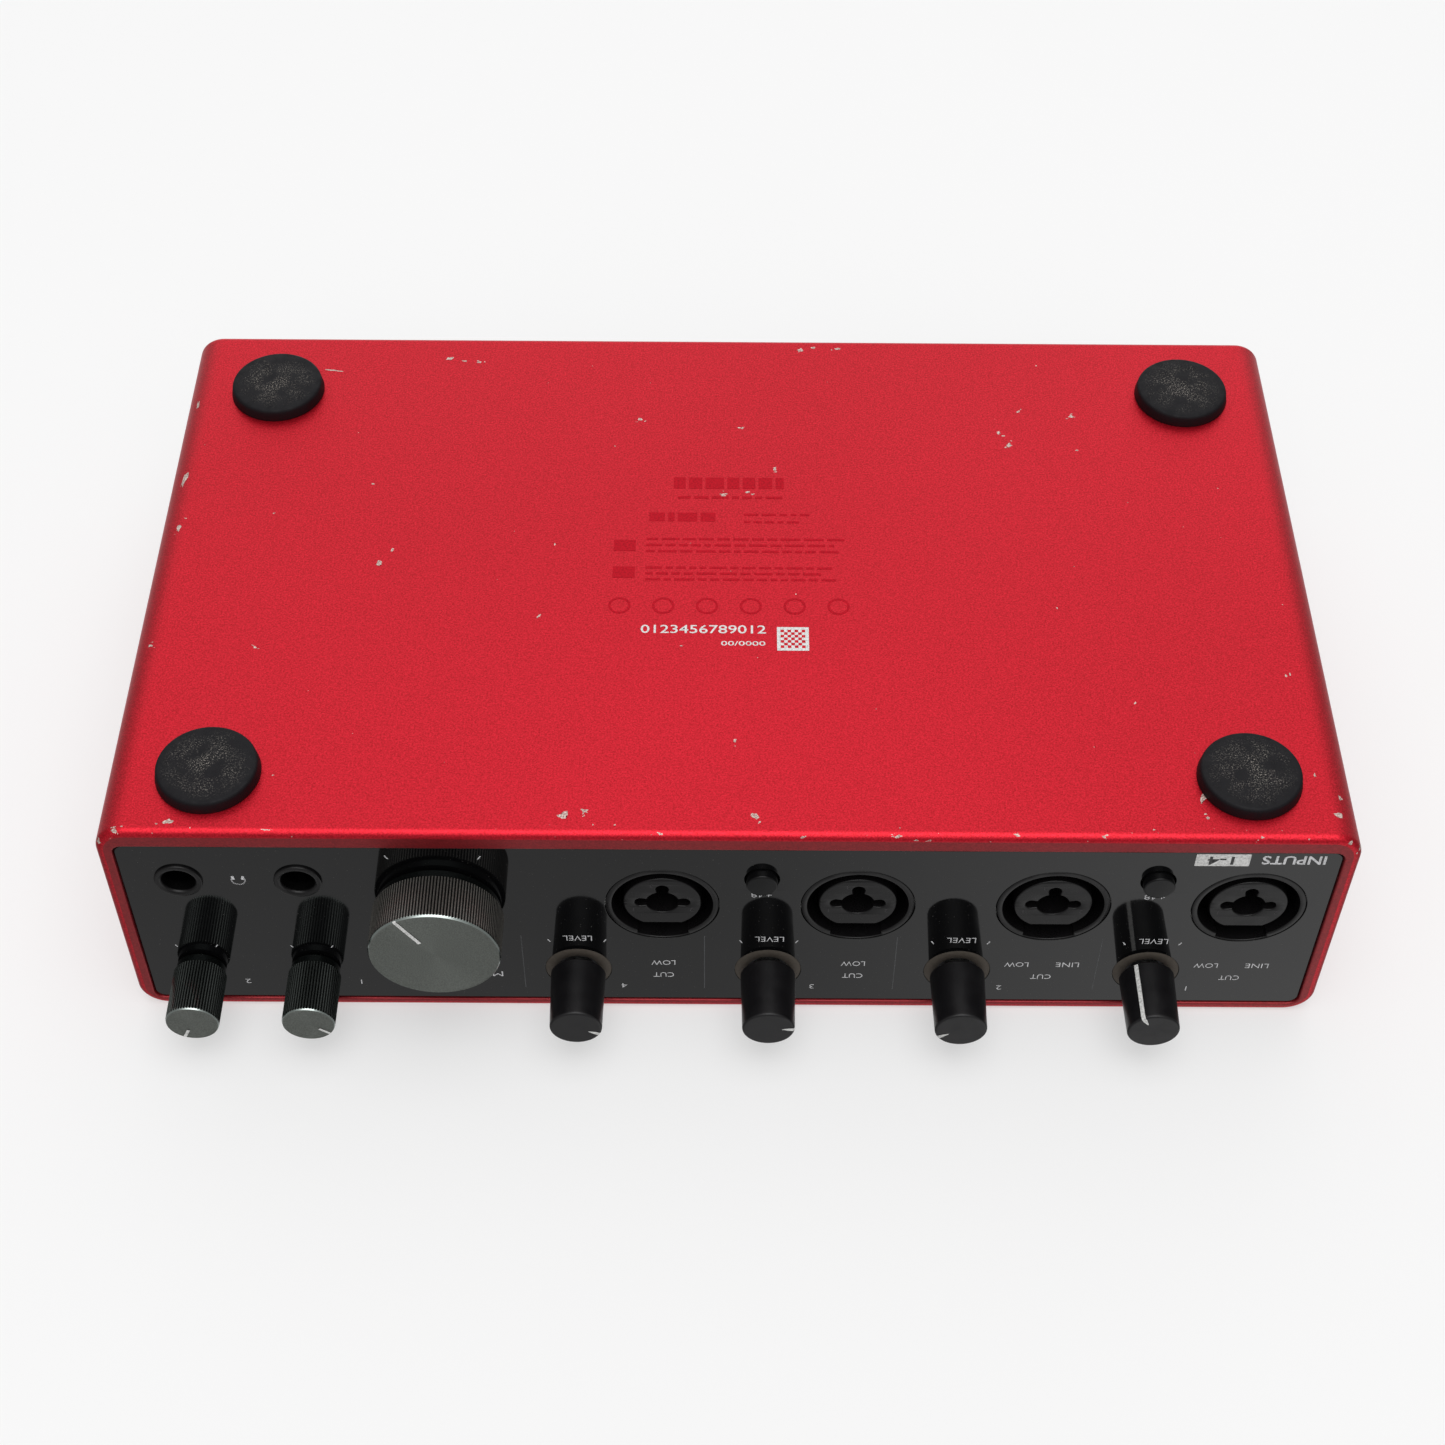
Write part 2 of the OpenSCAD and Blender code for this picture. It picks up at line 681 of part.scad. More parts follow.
// square optical socket with a cavity behind its hinged shutter
module optical_socket() {
    x = optical_x;
    z = rear_mid_z;
    color([0.05, 0.05, 0.055]) difference() {
        union() {
            box([x - 6, rear_inner_y - 12, housing_z0], [x + 6, rear_inner_y, z + 6]);
            slab(rear_inner_y - e, rear_face_y + 0.6) round_rect(x - 6, z - 6, x + 6, z + 6, 0.8);
        }
        box([x - 4.3, rear_inner_y - 9, z - 4.4], [x + 4.3, rear_face_y + 2, z + 4.4]);
        translate([x - 4.9, optical_hinge[0], optical_hinge[1]]) rotate([0, 90, 0])
            cylinder(r = 0.5 + bearing_play, h = 9.8);
    }
}

module optical_shutter() {
    x = optical_x;
    hy = optical_hinge[0];
    hz = optical_hinge[1];
    color([0.1, 0.1, 0.11]) {
        box([x - 4.05, hy - 0.4, hz - 7.7], [x + 4.05, hy + 0.4, hz + 0.2]);
        translate([x - 4.7, hy, hz]) rotate([0, 90, 0]) cylinder(r = 0.5, h = 9.4);
    }
}

// four stacked pairs of quarter inch jacks
module line_jacks() {
    color([0.05, 0.05, 0.055]) for (x = jack_x) difference() {
        union() {
            box([x - 8, rear_face_y - 30, housing_z0], [x + 8, rear_inner_y, jack_high_z + 7]);
            for (z = [jack_low_z, jack_high_z]) drum(x, z, rear_inner_y - e, jack_mouth_y, 4.4);
        }
        for (z = [jack_low_z, jack_high_z])
            drum(x, z, jack_mouth_y - jack_depth, jack_mouth_y + 1, quarter_inch_r);
    }
}

module line_jack_nuts() {
    color("gray") for (x = jack_x, z = [jack_low_z, jack_high_z]) difference() {
        drum(x, z, rear_face_y, rear_face_y + 1.8, 6.6, $fn = 6);
        drum(x, z, rear_face_y - 1, rear_face_y + 3, 4.4);
    }
}

// ---- what is drawn ----

case_sleeve();
front_panel();
front_subpanel();
rear_panel();
chassis_tray();
main_board();
front_board();
board_standoffs();
board_screws();
panel_screws();
feet();
gain_halo(0);  // gain_halo_1
gain_halo(1);  // gain_halo_2
gain_halo(2);  // gain_halo_3
gain_halo(3);  // gain_halo_4
combo_shell(0);  // combo_shell_1
combo_shell(1);  // combo_shell_2
combo_shell(2);  // combo_shell_3
combo_shell(3);  // combo_shell_4
combo_insert(0);  // combo_insert_1
combo_insert(1);  // combo_insert_2
combo_insert(2);  // combo_insert_3
combo_insert(3);  // combo_insert_4
combo_contacts();
gain_pots();
monitor_pot();
monitor_pot_nut();
headphone_pots();
phantom_switches();
headphone_jack(0);  // headphone_jack_1
headphone_jack(1);  // headphone_jack_2
indicator_leds();
ribbon_cable();
dc_inlet();
power_switch_frame();
usb_socket();
midi_sockets();
coax_sockets();
coax_sleeves();
optical_socket();
line_jacks();
line_jack_nuts();
power_rocker();
optical_shutter();
gain_knob(0);  // gain_knob_1
gain_knob(1);  // gain_knob_2
gain_knob(2);  // gain_knob_3
gain_knob(3);  // gain_knob_4
shaft(gain_x[0], gain_z, gain_turn[0], gain_reach - 3);  // gain_shaft_1
shaft(gain_x[1], gain_z, gain_turn[1], gain_reach - 3);  // gain_shaft_2
shaft(gain_x[2], gain_z, gain_turn[2], gain_reach - 3);  // gain_shaft_3
shaft(gain_x[3], gain_z, gain_turn[3], gain_reach - 3);  // gain_shaft_4
monitor_knob();
shaft(monitor_x, monitor_z, monitor_turn, monitor_reach - 3);  // monitor_shaft
headphone_knob(0);  // headphone_knob_1
headphone_knob(1);  // headphone_knob_2
shaft(phones_x[0], phones_knob_z, phones_turn[0], phones_reach - 3);  // headphone_shaft_1
shaft(phones_x[1], phones_knob_z, phones_turn[1], phones_reach - 3);  // headphone_shaft_2
phantom_button(0);  // phantom_button_1
phantom_button(1);  // phantom_button_2
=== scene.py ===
"""Looks of a desktop audio interface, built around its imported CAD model."""
import json
import random
from math import asin, cos, degrees, hypot, pi, radians, sin, sqrt

import bmesh
import bpy
from mathutils import Matrix, Vector


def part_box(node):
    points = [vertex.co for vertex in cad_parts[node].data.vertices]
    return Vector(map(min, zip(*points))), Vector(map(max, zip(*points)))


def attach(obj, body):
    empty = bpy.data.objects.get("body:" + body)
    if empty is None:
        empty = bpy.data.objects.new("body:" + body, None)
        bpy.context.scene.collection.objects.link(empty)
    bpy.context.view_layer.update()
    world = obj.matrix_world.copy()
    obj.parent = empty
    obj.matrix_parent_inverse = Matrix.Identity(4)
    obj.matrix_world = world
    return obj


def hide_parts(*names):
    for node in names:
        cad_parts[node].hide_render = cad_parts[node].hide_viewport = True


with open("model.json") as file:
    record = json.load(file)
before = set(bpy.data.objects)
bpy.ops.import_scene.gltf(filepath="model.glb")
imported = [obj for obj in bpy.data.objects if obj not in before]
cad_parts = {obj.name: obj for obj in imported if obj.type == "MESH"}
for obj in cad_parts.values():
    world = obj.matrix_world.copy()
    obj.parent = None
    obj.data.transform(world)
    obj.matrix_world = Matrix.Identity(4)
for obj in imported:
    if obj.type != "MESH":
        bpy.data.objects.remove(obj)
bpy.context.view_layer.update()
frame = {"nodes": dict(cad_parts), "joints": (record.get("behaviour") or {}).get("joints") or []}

MM = 0.001
ROOT = "chassis"
TURN_LIMIT = 150.0  # every rotary control turns this far each side of straight up
INK_LIFT = 0.02
CAPITAL_SHARE = 0.69  # height of a capital as a share of the font's size
BAR_THICK = 0.02
FAR = 10.0  # metres; farther than anything that is measured
joints = {joint["name"]: joint for joint in frame["joints"]}


def low(node):
    return Vector(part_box(node)[0]) / MM


def high(node):
    return Vector(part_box(node)[1]) / MM


def middle(node):
    return (low(node) + high(node)) / 2


FOOT_R = 10.2
FACE_Y = low("front_panel").y
RIM_Y = low("case_sleeve").y
REAR_Y = high("rear_panel").y


def foot_centres():
    """Where the four feet meet the table, in metres."""
    box_low, box_high = low("feet"), high("feet")
    return [Vector((x, y, 0)) * MM for x in (box_low.x + FOOT_R, box_high.x - FOOT_R)
            for y in (box_low.y + FOOT_R, box_high.y - FOOT_R)]


# ---------------- materials

def linear(red, green, blue):
    """An sRGB colour in 0 to 255 as linear values with alpha."""
    def one(value):
        value /= 255
        return value / 12.92 if value <= 0.04045 else ((value + 0.055) / 1.055) ** 2.4
    return (one(red), one(green), one(blue), 1.0)


class Graph:
    """A node tree, with helpers that add nodes to it and join them."""

    def __init__(self, tree):
        self.tree = tree

    def node(self, kind, values=(), **settings):
        """A new node; values holds constants or links for its inputs, by name or number."""
        made = self.tree.nodes.new(kind)
        for key, value in settings.items():
            setattr(made, key, value)
        for key, value in dict(values).items():
            self.join(value, made.inputs[key])
        return made

    def join(self, value, socket):
        if isinstance(value, bpy.types.NodeSocket):
            self.tree.links.new(value, socket)
        else:
            socket.default_value = value

    def spread(self, value, start, end, to_start=0.0, to_end=1.0, **settings):
        """Maps start to to_start and end to to_end, and holds there beyond them."""
        made = self.node("ShaderNodeMapRange", {"Value": value, "From Min": start, "From Max": end,
                                                "To Min": to_start, "To Max": to_end}, **settings)
        return made.outputs["Result"]

    def calc(self, operation, first, second):
        made = self.node("ShaderNodeMath", {0: first, 1: second}, operation=operation)
        return made.outputs["Value"]

    def blend(self, amount, first, second, kind="RGBA"):
        made = self.node("ShaderNodeMix", {"Factor": amount, "A": first, "B": second},
                         data_type=kind)
        return made.outputs["Result"]


class Finish(Graph):
    """A node material: a principled shader and helpers that add procedural detail."""

    def __init__(self, name, colour, roughness, metallic=0.0, **sockets):
        self.material = bpy.data.materials.new(name)
        self.material.use_nodes = True
        super().__init__(self.material.node_tree)
        self.shader = self.tree.nodes["Principled BSDF"]
        sockets.update(Base_Color=linear(*colour), Roughness=roughness, Metallic=metallic)
        for socket, value in sockets.items():
            self.shader.inputs[socket.replace("_", " ")].default_value = value
        self.place = self.node("ShaderNodeTexCoord").outputs["Object"]

    def noise(self, size, detail=2.0, rough=0.5):
        """Noise from 0 to 1 whose features are about size millimetres wide."""
        made = self.node("ShaderNodeTexNoise", {"Vector": self.place, "Scale": 1 / (size * MM),
                                                "Detail": detail, "Roughness": rough})
        return made.outputs["Fac"]

    def edge_distance(self, size):
        """Distance from the borders between cells about size millimetres wide."""
        made = self.node("ShaderNodeTexVoronoi", {"Vector": self.place, "Scale": 1 / (size * MM)},
                         feature="DISTANCE_TO_EDGE")
        return made.outputs["Distance"]

    def distance_from(self, points):
        """Distance in metres to the nearest of some points."""
        nearest = FAR
        for point in points:
            made = self.node("ShaderNodeVectorMath", {0: self.place, 1: point}, operation="DISTANCE")
            nearest = self.calc("MINIMUM", nearest, made.outputs["Value"])
        return nearest

    def tint(self, amount, first, second):
        """A colour between two sRGB colours, as amount goes from 0 to 1."""
        self.join(self.blend(amount, linear(*first), linear(*second)),
                  self.shader.inputs["Base Color"])

    def rough(self, value):
        self.join(value, self.shader.inputs["Roughness"])

    def uneven(self, field, least, most):
        """Roughness that follows a noise field between two values."""
        self.rough(self.spread(field, 0.3, 0.7, least, most))

    def bump(self, height, depth, strength=1.0):
        """Bump whose height of 1 stands for depth millimetres."""
        made = self.node("ShaderNodeBump", {"Strength": strength, "Distance": depth * MM,
                                            "Height": height})
        self.join(made.outputs["Normal"], self.shader.inputs["Normal"])


def anodised_red(name, dark, light, coat, metallic=0.85):
    """Blasted aluminium dyed red: fine speckled grain under a thin clear layer."""
    f = Finish(name, (205, 24, 42), 0.4, metallic=metallic, Coat_Weight=coat, Coat_Roughness=0.3)
    grain = f.noise(0.36, detail=3, rough=0.7)
    cloud = f.noise(120, detail=1)
    shade = f.calc("ADD", f.spread(grain, 0.3, 0.7), f.spread(cloud, 0.3, 0.7, -0.05, 0.05))
    f.tint(shade, dark, light)
    f.uneven(f.noise(9, detail=4), 0.39, 0.43)
    f.bump(grain, 0.05, 0.6)
    return f.material


def bare_metal():
    f = Finish("bare_metal_chip", (196, 172, 160), 0.55, metallic=0.35)
    speck = f.noise(0.3, detail=4)
    f.tint(f.spread(speck, 0.35, 0.65), (150, 110, 104), (226, 212, 202))
    f.bump(speck, 0.06)
    return f.material


def gloss_black():
    f = Finish("gloss_black_panel", (9, 9, 10), 0.05, IOR=1.5)
    smudge = f.noise(14, detail=5, rough=0.6)
    dust = f.spread(f.noise(0.35, detail=1), 0.74, 0.8)
    f.rough(f.calc("ADD", f.spread(smudge, 0.35, 0.75, 0.03, 0.09), f.calc("MULTIPLY", dust, 0.5)))
    f.tint(dust, (9, 9, 10), (64, 62, 60))
    return f.material


def moulded(name, shade, roughness, grain=0.4, depth=0.01, shine=0.5):
    """Black or grey injection-moulded plastic with a fine texture and a little dust."""
    f = Finish(name, shade, roughness, Specular_IOR_Level=shine)
    fine = f.noise(grain, detail=3)
    dust = f.calc("MULTIPLY", f.spread(f.noise(0.5, detail=5, rough=0.7), 0.58, 0.74),
                  f.spread(f.noise(6), 0.4, 0.7))
    f.tint(f.calc("MULTIPLY", dust, 0.35), shade, [min(255, value + 40) for value in shade])
    f.uneven(f.noise(3, detail=3), roughness - 0.05, roughness + 0.08)
    f.bump(fine, depth)
    return f.material


def rubber():
    """Soft black rubber whose middle is scuffed with pale dust."""
    f = Finish("foot_rubber", (14, 13, 17), 0.6, Specular_IOR_Level=0.2)
    inside = f.spread(f.distance_from(foot_centres()), 9 * MM, 2 * MM)
    scuff = f.calc("MULTIPLY", f.spread(f.noise(0.32, detail=4, rough=0.8), 0.55, 0.61),
                   f.calc("MULTIPLY", f.spread(f.noise(4, detail=3), 0.4, 0.56), inside))
    f.tint(f.calc("MULTIPLY", scuff, 0.6), (14, 13, 17), (196, 188, 178))
    f.uneven(f.noise(2, detail=4), 0.5, 0.72)
    f.bump(f.noise(0.3, detail=4), 0.03)
    return f.material


def light_ring():
    f = Finish("light_ring", (74, 68, 62), 0.6, Specular_IOR_Level=0.15)
    f.tint(f.noise(0.8, detail=3), (66, 60, 54), (84, 78, 71))
    f.bump(f.noise(0.25, detail=2), 0.008)
    return f.material


def dark_anodised(name, shade, roughness, depth=0.006, spun=0.0, metallic=0.85):
    """Dark anodised aluminium; spun above 0 stretches its glints as turning marks do."""
    f = Finish(name, shade, roughness, metallic=metallic, Anisotropic=spun)
    if spun:
        around = f.node("ShaderNodeTangent", direction_type="RADIAL", axis="Y")
        f.join(around.outputs["Tangent"], f.shader.inputs["Tangent"])
    fine = f.noise(0.2, detail=3)
    f.tint(f.spread(fine, 0.35, 0.65), shade, [value + 26 for value in shade])
    f.bump(fine, depth)
    return f.material


def polished_edge():
    f = Finish("polished_edge", (184, 194, 190), 0.14, metallic=1.0)
    f.uneven(f.noise(0.6, detail=3), 0.12, 0.26)
    return f.material


def metal(name, shade, roughness):
    """Plain or plated metal with fine tooling marks."""
    f = Finish(name, shade, roughness, metallic=1.0)
    fine = f.noise(0.25, detail=4)
    f.uneven(fine, roughness - 0.06, roughness + 0.1)
    f.tint(f.noise(4, detail=3), [value * 0.86 for value in shade], shade)
    f.bump(fine, 0.006)
    return f.material


def ink(name, shade, roughness=0.5, shine=0.3):
    f = Finish(name, shade, roughness, Specular_IOR_Level=shine)
    wear = f.noise(0.4, detail=3)
    f.tint(f.spread(wear, 0.4, 0.7), shade, [value * 0.8 for value in shade])
    f.bump(wear, 0.004)
    return f.material


def solder_mask():
    f = Finish("solder_mask", (18, 74, 40), 0.35)
    tracks = f.spread(f.edge_distance(2.2), 0.04, 0.1)
    f.tint(tracks, (34, 112, 66), (14, 62, 34))
    f.bump(tracks, 0.02)
    return f.material


RED = anodised_red("anodised_red", (164, 3, 19), (230, 32, 54), 0.16)
# A darker, duller copy of the red anodising for the inner wall and the flat rims: the lower metallic and
# thinner coat are a duller finish, and the darker red is painted shade.
RIM_RED_SHADED = anodised_red("anodised_rim_painted_shade", (122, 24, 31), (162, 40, 46), 0.1, metallic=0.6)
CHIP = bare_metal()
PANEL = gloss_black()
SOCKET = moulded("socket_plastic", (15, 14, 15), 0.28, shine=0.3)
# A near-black copy of the socket plastic for the inside of the plug holes: painted shade.
BORE_SHADE = moulded("socket_bore_painted_shade", (3, 3, 3), 0.6, shine=0.1)
KNOB = moulded("knob_plastic", (16, 15, 17), 0.36, grain=0.25, shine=0.37)
BUTTON = moulded("button_plastic", (10, 10, 11), 0.16, grain=0.8, depth=0.004, shine=0.22)
REAR_PAINT = moulded("rear_paint", (26, 26, 28), 0.45, grain=0.3, depth=0.02)
GREY_PLASTIC = moulded("control_plastic", (70, 70, 74), 0.5)
CABLE_PLASTIC = moulded("cable_plastic", (150, 150, 152), 0.55)
RUBBER = rubber()
RING = light_ring()
SPUN = dark_anodised("spun_face", (99, 103, 98), 0.32, 0.004, spun=0.8)
# The knurls' ridges take lighter copies of dark anodising and their groove walls a near-black copy: the
# ridges' lighter tone is painted light and the grooves' near-black is painted shade.
FINE_KNURL = dark_anodised("fine_knurl_ridge", (92, 98, 95), 0.14)
WIDE_KNURL = dark_anodised("wide_knurl_ridge", (83, 81, 77), 0.32, metallic=0.5)
KNURL_GROOVE_SHADE = dark_anodised("knurl_groove_painted_shade", (18, 20, 19), 0.3)
COLLAR = dark_anodised("turned_collar", (20, 24, 23), 0.2)
EDGE = polished_edge()
WHITE = ink("white_ink", (226, 226, 224))
PRINT = ink("panel_print", (222, 222, 224))
PRINT_DIM = ink("panel_lines", (84, 84, 86))
FAINT = ink("faint_ink", (186, 22, 38), 0.6, 0.05)
DIGIT = ink("moulded_digit", (62, 60, 62), 0.5)
STEEL = metal("plated_steel", (186, 186, 184), 0.3)
BLACK_STEEL = metal("black_screw", (52, 52, 54), 0.35)
GOLD = metal("gold_plate", (214, 170, 92), 0.25)
BRASS = metal("plain_brass", (200, 164, 96), 0.35)
BOARD = solder_mask()


# ---------------- mesh tools

def added(name, data):
    """A new object in the scene."""
    thing = bpy.data.objects.new(name, data)
    bpy.context.collection.objects.link(thing)
    return thing


def new_piece(name, mesh, materials, body, replaced=()):
    """A finished piece that rides on a body and takes the place of CAD nodes."""
    piece = added(name, mesh)
    for material in materials:
        mesh.materials.append(material)
    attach(piece, body)
    if replaced:
        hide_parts(*replaced)
    return piece


def even_flats(piece):
    """Lets the large faces set the normals, so flats shade flat beside their bevels."""
    weights = piece.modifiers.new("even_flats", "WEIGHTED_NORMAL")
    weights.keep_sharp = True


def to_mesh(name, build, sharp_degrees=40.0):
    """The mesh of a bmesh, smooth but for edges sharper than sharp_degrees."""
    bmesh.ops.recalc_face_normals(build, faces=build.faces)
    mesh = bpy.data.meshes.new(name)
    build.to_mesh(mesh)
    build.free()
    mesh.polygons.foreach_set("use_smooth", [True] * len(mesh.polygons))
    mesh.set_sharp_from_angle(angle=radians(sharp_degrees))
    return mesh


def join_rings(build, rings, paint=None):
    """Adds the faces between rings of vertices; a ring of one vertex closes to a point."""
    for band, (first, second) in enumerate(zip(rings, rings[1:])):
        steps = max(len(first), len(second))
        for step in range(steps):
            after = (step + 1) % steps
            corners = [first[step % len(first)], first[after % len(first)],
                       second[after % len(second)], second[step % len(second)]]
            unique = list(dict.fromkeys(corners))
            if len(unique) > 2:
                face = build.faces.new(unique)
                tones = paint[band] if paint else (0,)
                face.material_index = tones[step % len(tones)]


def add_lathe(build, centre, profile, segments=96, paint=None, wobble=None):
    """Adds a shape turned about an axis along Y through centre (x, z).

    profile holds (radius, y) points in millimetres. paint holds, for each band between
    them, the material indices that its faces take in turn, and wobble(band, step)
    changes the radius, as a knurl does.
    """
    rings = []
    for band, (radius, y) in enumerate(profile):
        if radius < 1e-6:
            rings.append([build.verts.new(Vector((centre[0], y, centre[1])) * MM)])
            continue
        ring = []
        for step in range(segments):
            turn = 2 * pi * step / segments
            reach = radius + (wobble(band, step) if wobble else 0.0)
            ring.append(build.verts.new(Vector((centre[0] + reach * sin(turn), y,
                                                centre[1] + reach * cos(turn))) * MM))
        rings.append(ring)
    join_rings(build, rings, paint)


def lathe_mesh(name, centre, profile, **options):
    build = bmesh.new()
    add_lathe(build, centre, profile, **options)
    return to_mesh(name, build)


def arc(cx, cy, radius, start, end, steps=5):
    """Points on an arc, angles in degrees from +X towards +Y."""
    return [(cx + radius * cos(radians(start + (end - start) * k / steps)),
             cy + radius * sin(radians(start + (end - start) * k / steps)))
            for k in range(steps + 1)]


def circle(cx, cz, radius, steps=96):
    return arc(cx, cz, radius, 0, 360, steps)[:-1]


def rounded(x0, z0, x1, z1, radius, steps=10):
    """A rectangle's outline with rounded corners."""
    return (arc(x1 - radius, z1 - radius, radius, 0, 90, steps)
            + arc(x0 + radius, z1 - radius, radius, 90, 180, steps)
            + arc(x0 + radius, z0 + radius, radius, 180, 270, steps)
            + arc(x1 - radius, z0 + radius, radius, 270, 360, steps))


def plate_mesh(name, outlines, y0, y1, bevel=0.1):
    """A flat plate from y0 back to y1 whose first outline is the rim and the rest holes."""
    curve = bpy.data.curves.new(name, "CURVE")
    curve.dimensions = "2D"
    curve.fill_mode = "BOTH"
    curve.extrude = ((y1 - y0) / 2 - bevel) * MM
    curve.bevel_depth = bevel * MM
    curve.bevel_resolution = 1
    curve.offset = -bevel * MM
    for index, outline in enumerate(outlines):
        area = sum(a[0] * b[1] - b[0] * a[1] for a, b in zip(outline, outline[1:] + outline[:1]))
        wanted = 1 if index == 0 else -1
        points = outline if area * wanted > 0 else outline[::-1]
        spline = curve.splines.new("POLY")
        spline.points.add(len(points) - 1)
        for point, (x, z) in zip(spline.points, points):
            point.co = (x * MM, z * MM, 0, 1)
        spline.use_cyclic_u = True
    mesh = mesh_from_curve(curve)
    mesh.transform(Matrix.Translation((0, (y0 + y1) / 2 * MM, 0))
                   @ Matrix.Rotation(pi / 2, 4, "X"))
    build = bmesh.new()
    build.from_mesh(mesh)
    bpy.data.meshes.remove(mesh)
    bmesh.ops.remove_doubles(build, verts=build.verts, dist=1e-7)
    return to_mesh(name, build, 60.0)


def mesh_from_curve(curve):
    holder = added("holder", curve)
    graph = bpy.context.evaluated_depsgraph_get()
    mesh = bpy.data.meshes.new_from_object(holder.evaluated_get(graph))
    bpy.data.objects.remove(holder)
    bpy.data.curves.remove(curve)
    return mesh


def text_mesh(words, height, wide=1.0, heavy=0.0):
    """Lettering in the XY plane, centred, with capitals of that height in millimetres."""
    curve = bpy.data.curves.new("words", "FONT")
    curve.body = words
    curve.size = height / CAPITAL_SHARE * MM
    curve.align_x = "CENTER"
    curve.align_y = "CENTER"
    curve.offset = heavy * MM
    curve.extrude = 0.01 * MM
    curve.resolution_u = 3
    mesh = mesh_from_curve(curve)
    mesh.transform(Matrix.Diagonal((wide, 1, 1, 1)))
    return mesh


def merged(name, meshes):
    """One mesh made of several, which are then removed."""
    build = bmesh.new()
    for mesh in meshes:
        build.from_mesh(mesh)
        bpy.data.meshes.remove(mesh)
    return to_mesh(name, build, 50.0)


def printed(name, marks, ink_material):
    """One piece on the chassis made of many flat marks."""
    new_piece(name, merged(name, marks), [ink_material], ROOT)


def on_front(mesh, x, z, turn=0.0, lift=INK_LIFT):
    """Lays a flat mesh on the front panel."""
    mesh.transform(Matrix.Translation((x * MM, (FACE_Y - lift) * MM, z * MM))
                   @ Matrix.Rotation(radians(turn), 4, "Y")
                   @ Matrix.Rotation(pi / 2, 4, "X"))
    return mesh


def on_rear(mesh, x, z):
    """Lays a flat mesh on the rear panel, to be read from behind."""
    mesh.transform(Matrix.Translation((x * MM, (REAR_Y + INK_LIFT) * MM, z * MM))
                   @ Matrix.Rotation(pi, 4, "Z") @ Matrix.Rotation(pi / 2, 4, "X"))
    return mesh


def under_case(mesh, x, y, lift):
    """Lays a flat mesh on the underside, to be read from in front with the case upside down."""
    mesh.transform(Matrix.Translation((x * MM, y * MM, (CASE_LOW.z - lift) * MM))
                   @ Matrix.Rotation(pi, 4, "Y"))
    return mesh


def bar_mesh(length, width):
    """A thin bar in the XY plane, centred."""
    build = bmesh.new()
    bmesh.ops.create_cube(build, size=1.0)
    bmesh.ops.scale(build, vec=(length * MM, width * MM, BAR_THICK * MM), verts=build.verts)
    mesh = bpy.data.meshes.new("bar")
    build.to_mesh(mesh)
    build.free()
    return mesh


# ---------------- case

CASE_LOW, CASE_HIGH = low("case_sleeve"), high("case_sleeve")
CASE_CORNER = 6.0
PANEL_CORNER = 2.0
RIM_ROLL = 1.5
SKIN = 0.02  # the visible case lies this far inside the CAD case, so wear and print fit on it
CHIP_DEPTH = 0.005  # the chips lie this far inside the CAD case, and so above the visible one
PANEL_GAP = 0.3
CORNER_STEPS = 14
SHOULDER = 0.4  # how far beside a rounded corner an outline gets its extra points
PANEL_LOW, PANEL_HIGH = low("front_panel"), high("front_panel")
OPENING = (PANEL_LOW.x - PANEL_GAP, PANEL_LOW.z - PANEL_GAP,
           PANEL_HIGH.x + PANEL_GAP, PANEL_HIGH.z + PANEL_GAP)


def sleeve_outline(inset):
    """The case's outside outline drawn in by inset, with close points beside its corners."""
    inset += SKIN
    x0, z0 = CASE_LOW.x + inset, CASE_LOW.z + inset
    x1, z1 = CASE_HIGH.x - inset, CASE_HIGH.z - inset
    return with_shoulders(rounded(x0, z0, x1, z1, CASE_CORNER - inset, CORNER_STEPS))


def with_shoulders(outline):
    """Adds a point just outside each rounded corner's ends, so flat sides shade flat."""
    steps = len(outline) // 4
    result = []
    for start in range(0, len(outline), steps):
        run = outline[start:start + steps]
        result.append(towards(run[0], outline[start - 1]))
        result += run
        result.append(towards(run[-1], outline[(start + steps) % len(outline)]))
    return result


def towards(point, other):
    """The point that lies SHOULDER millimetres from one point on the way to another."""
    dx, dz = other[0] - point[0], other[1] - point[1]
    size = hypot(dx, dz)
    return (point[0] + dx * SHOULDER / size, point[1] + dz * SHOULDER / size)


def opening_outline(grow):
    """The case's inside outline, made larger by grow."""
    x0, z0, x1, z1 = OPENING
    corner = PANEL_CORNER + grow
    return with_shoulders(rounded(x0 - grow, z0 - grow, x1 + grow, z1 + grow, corner, CORNER_STEPS))


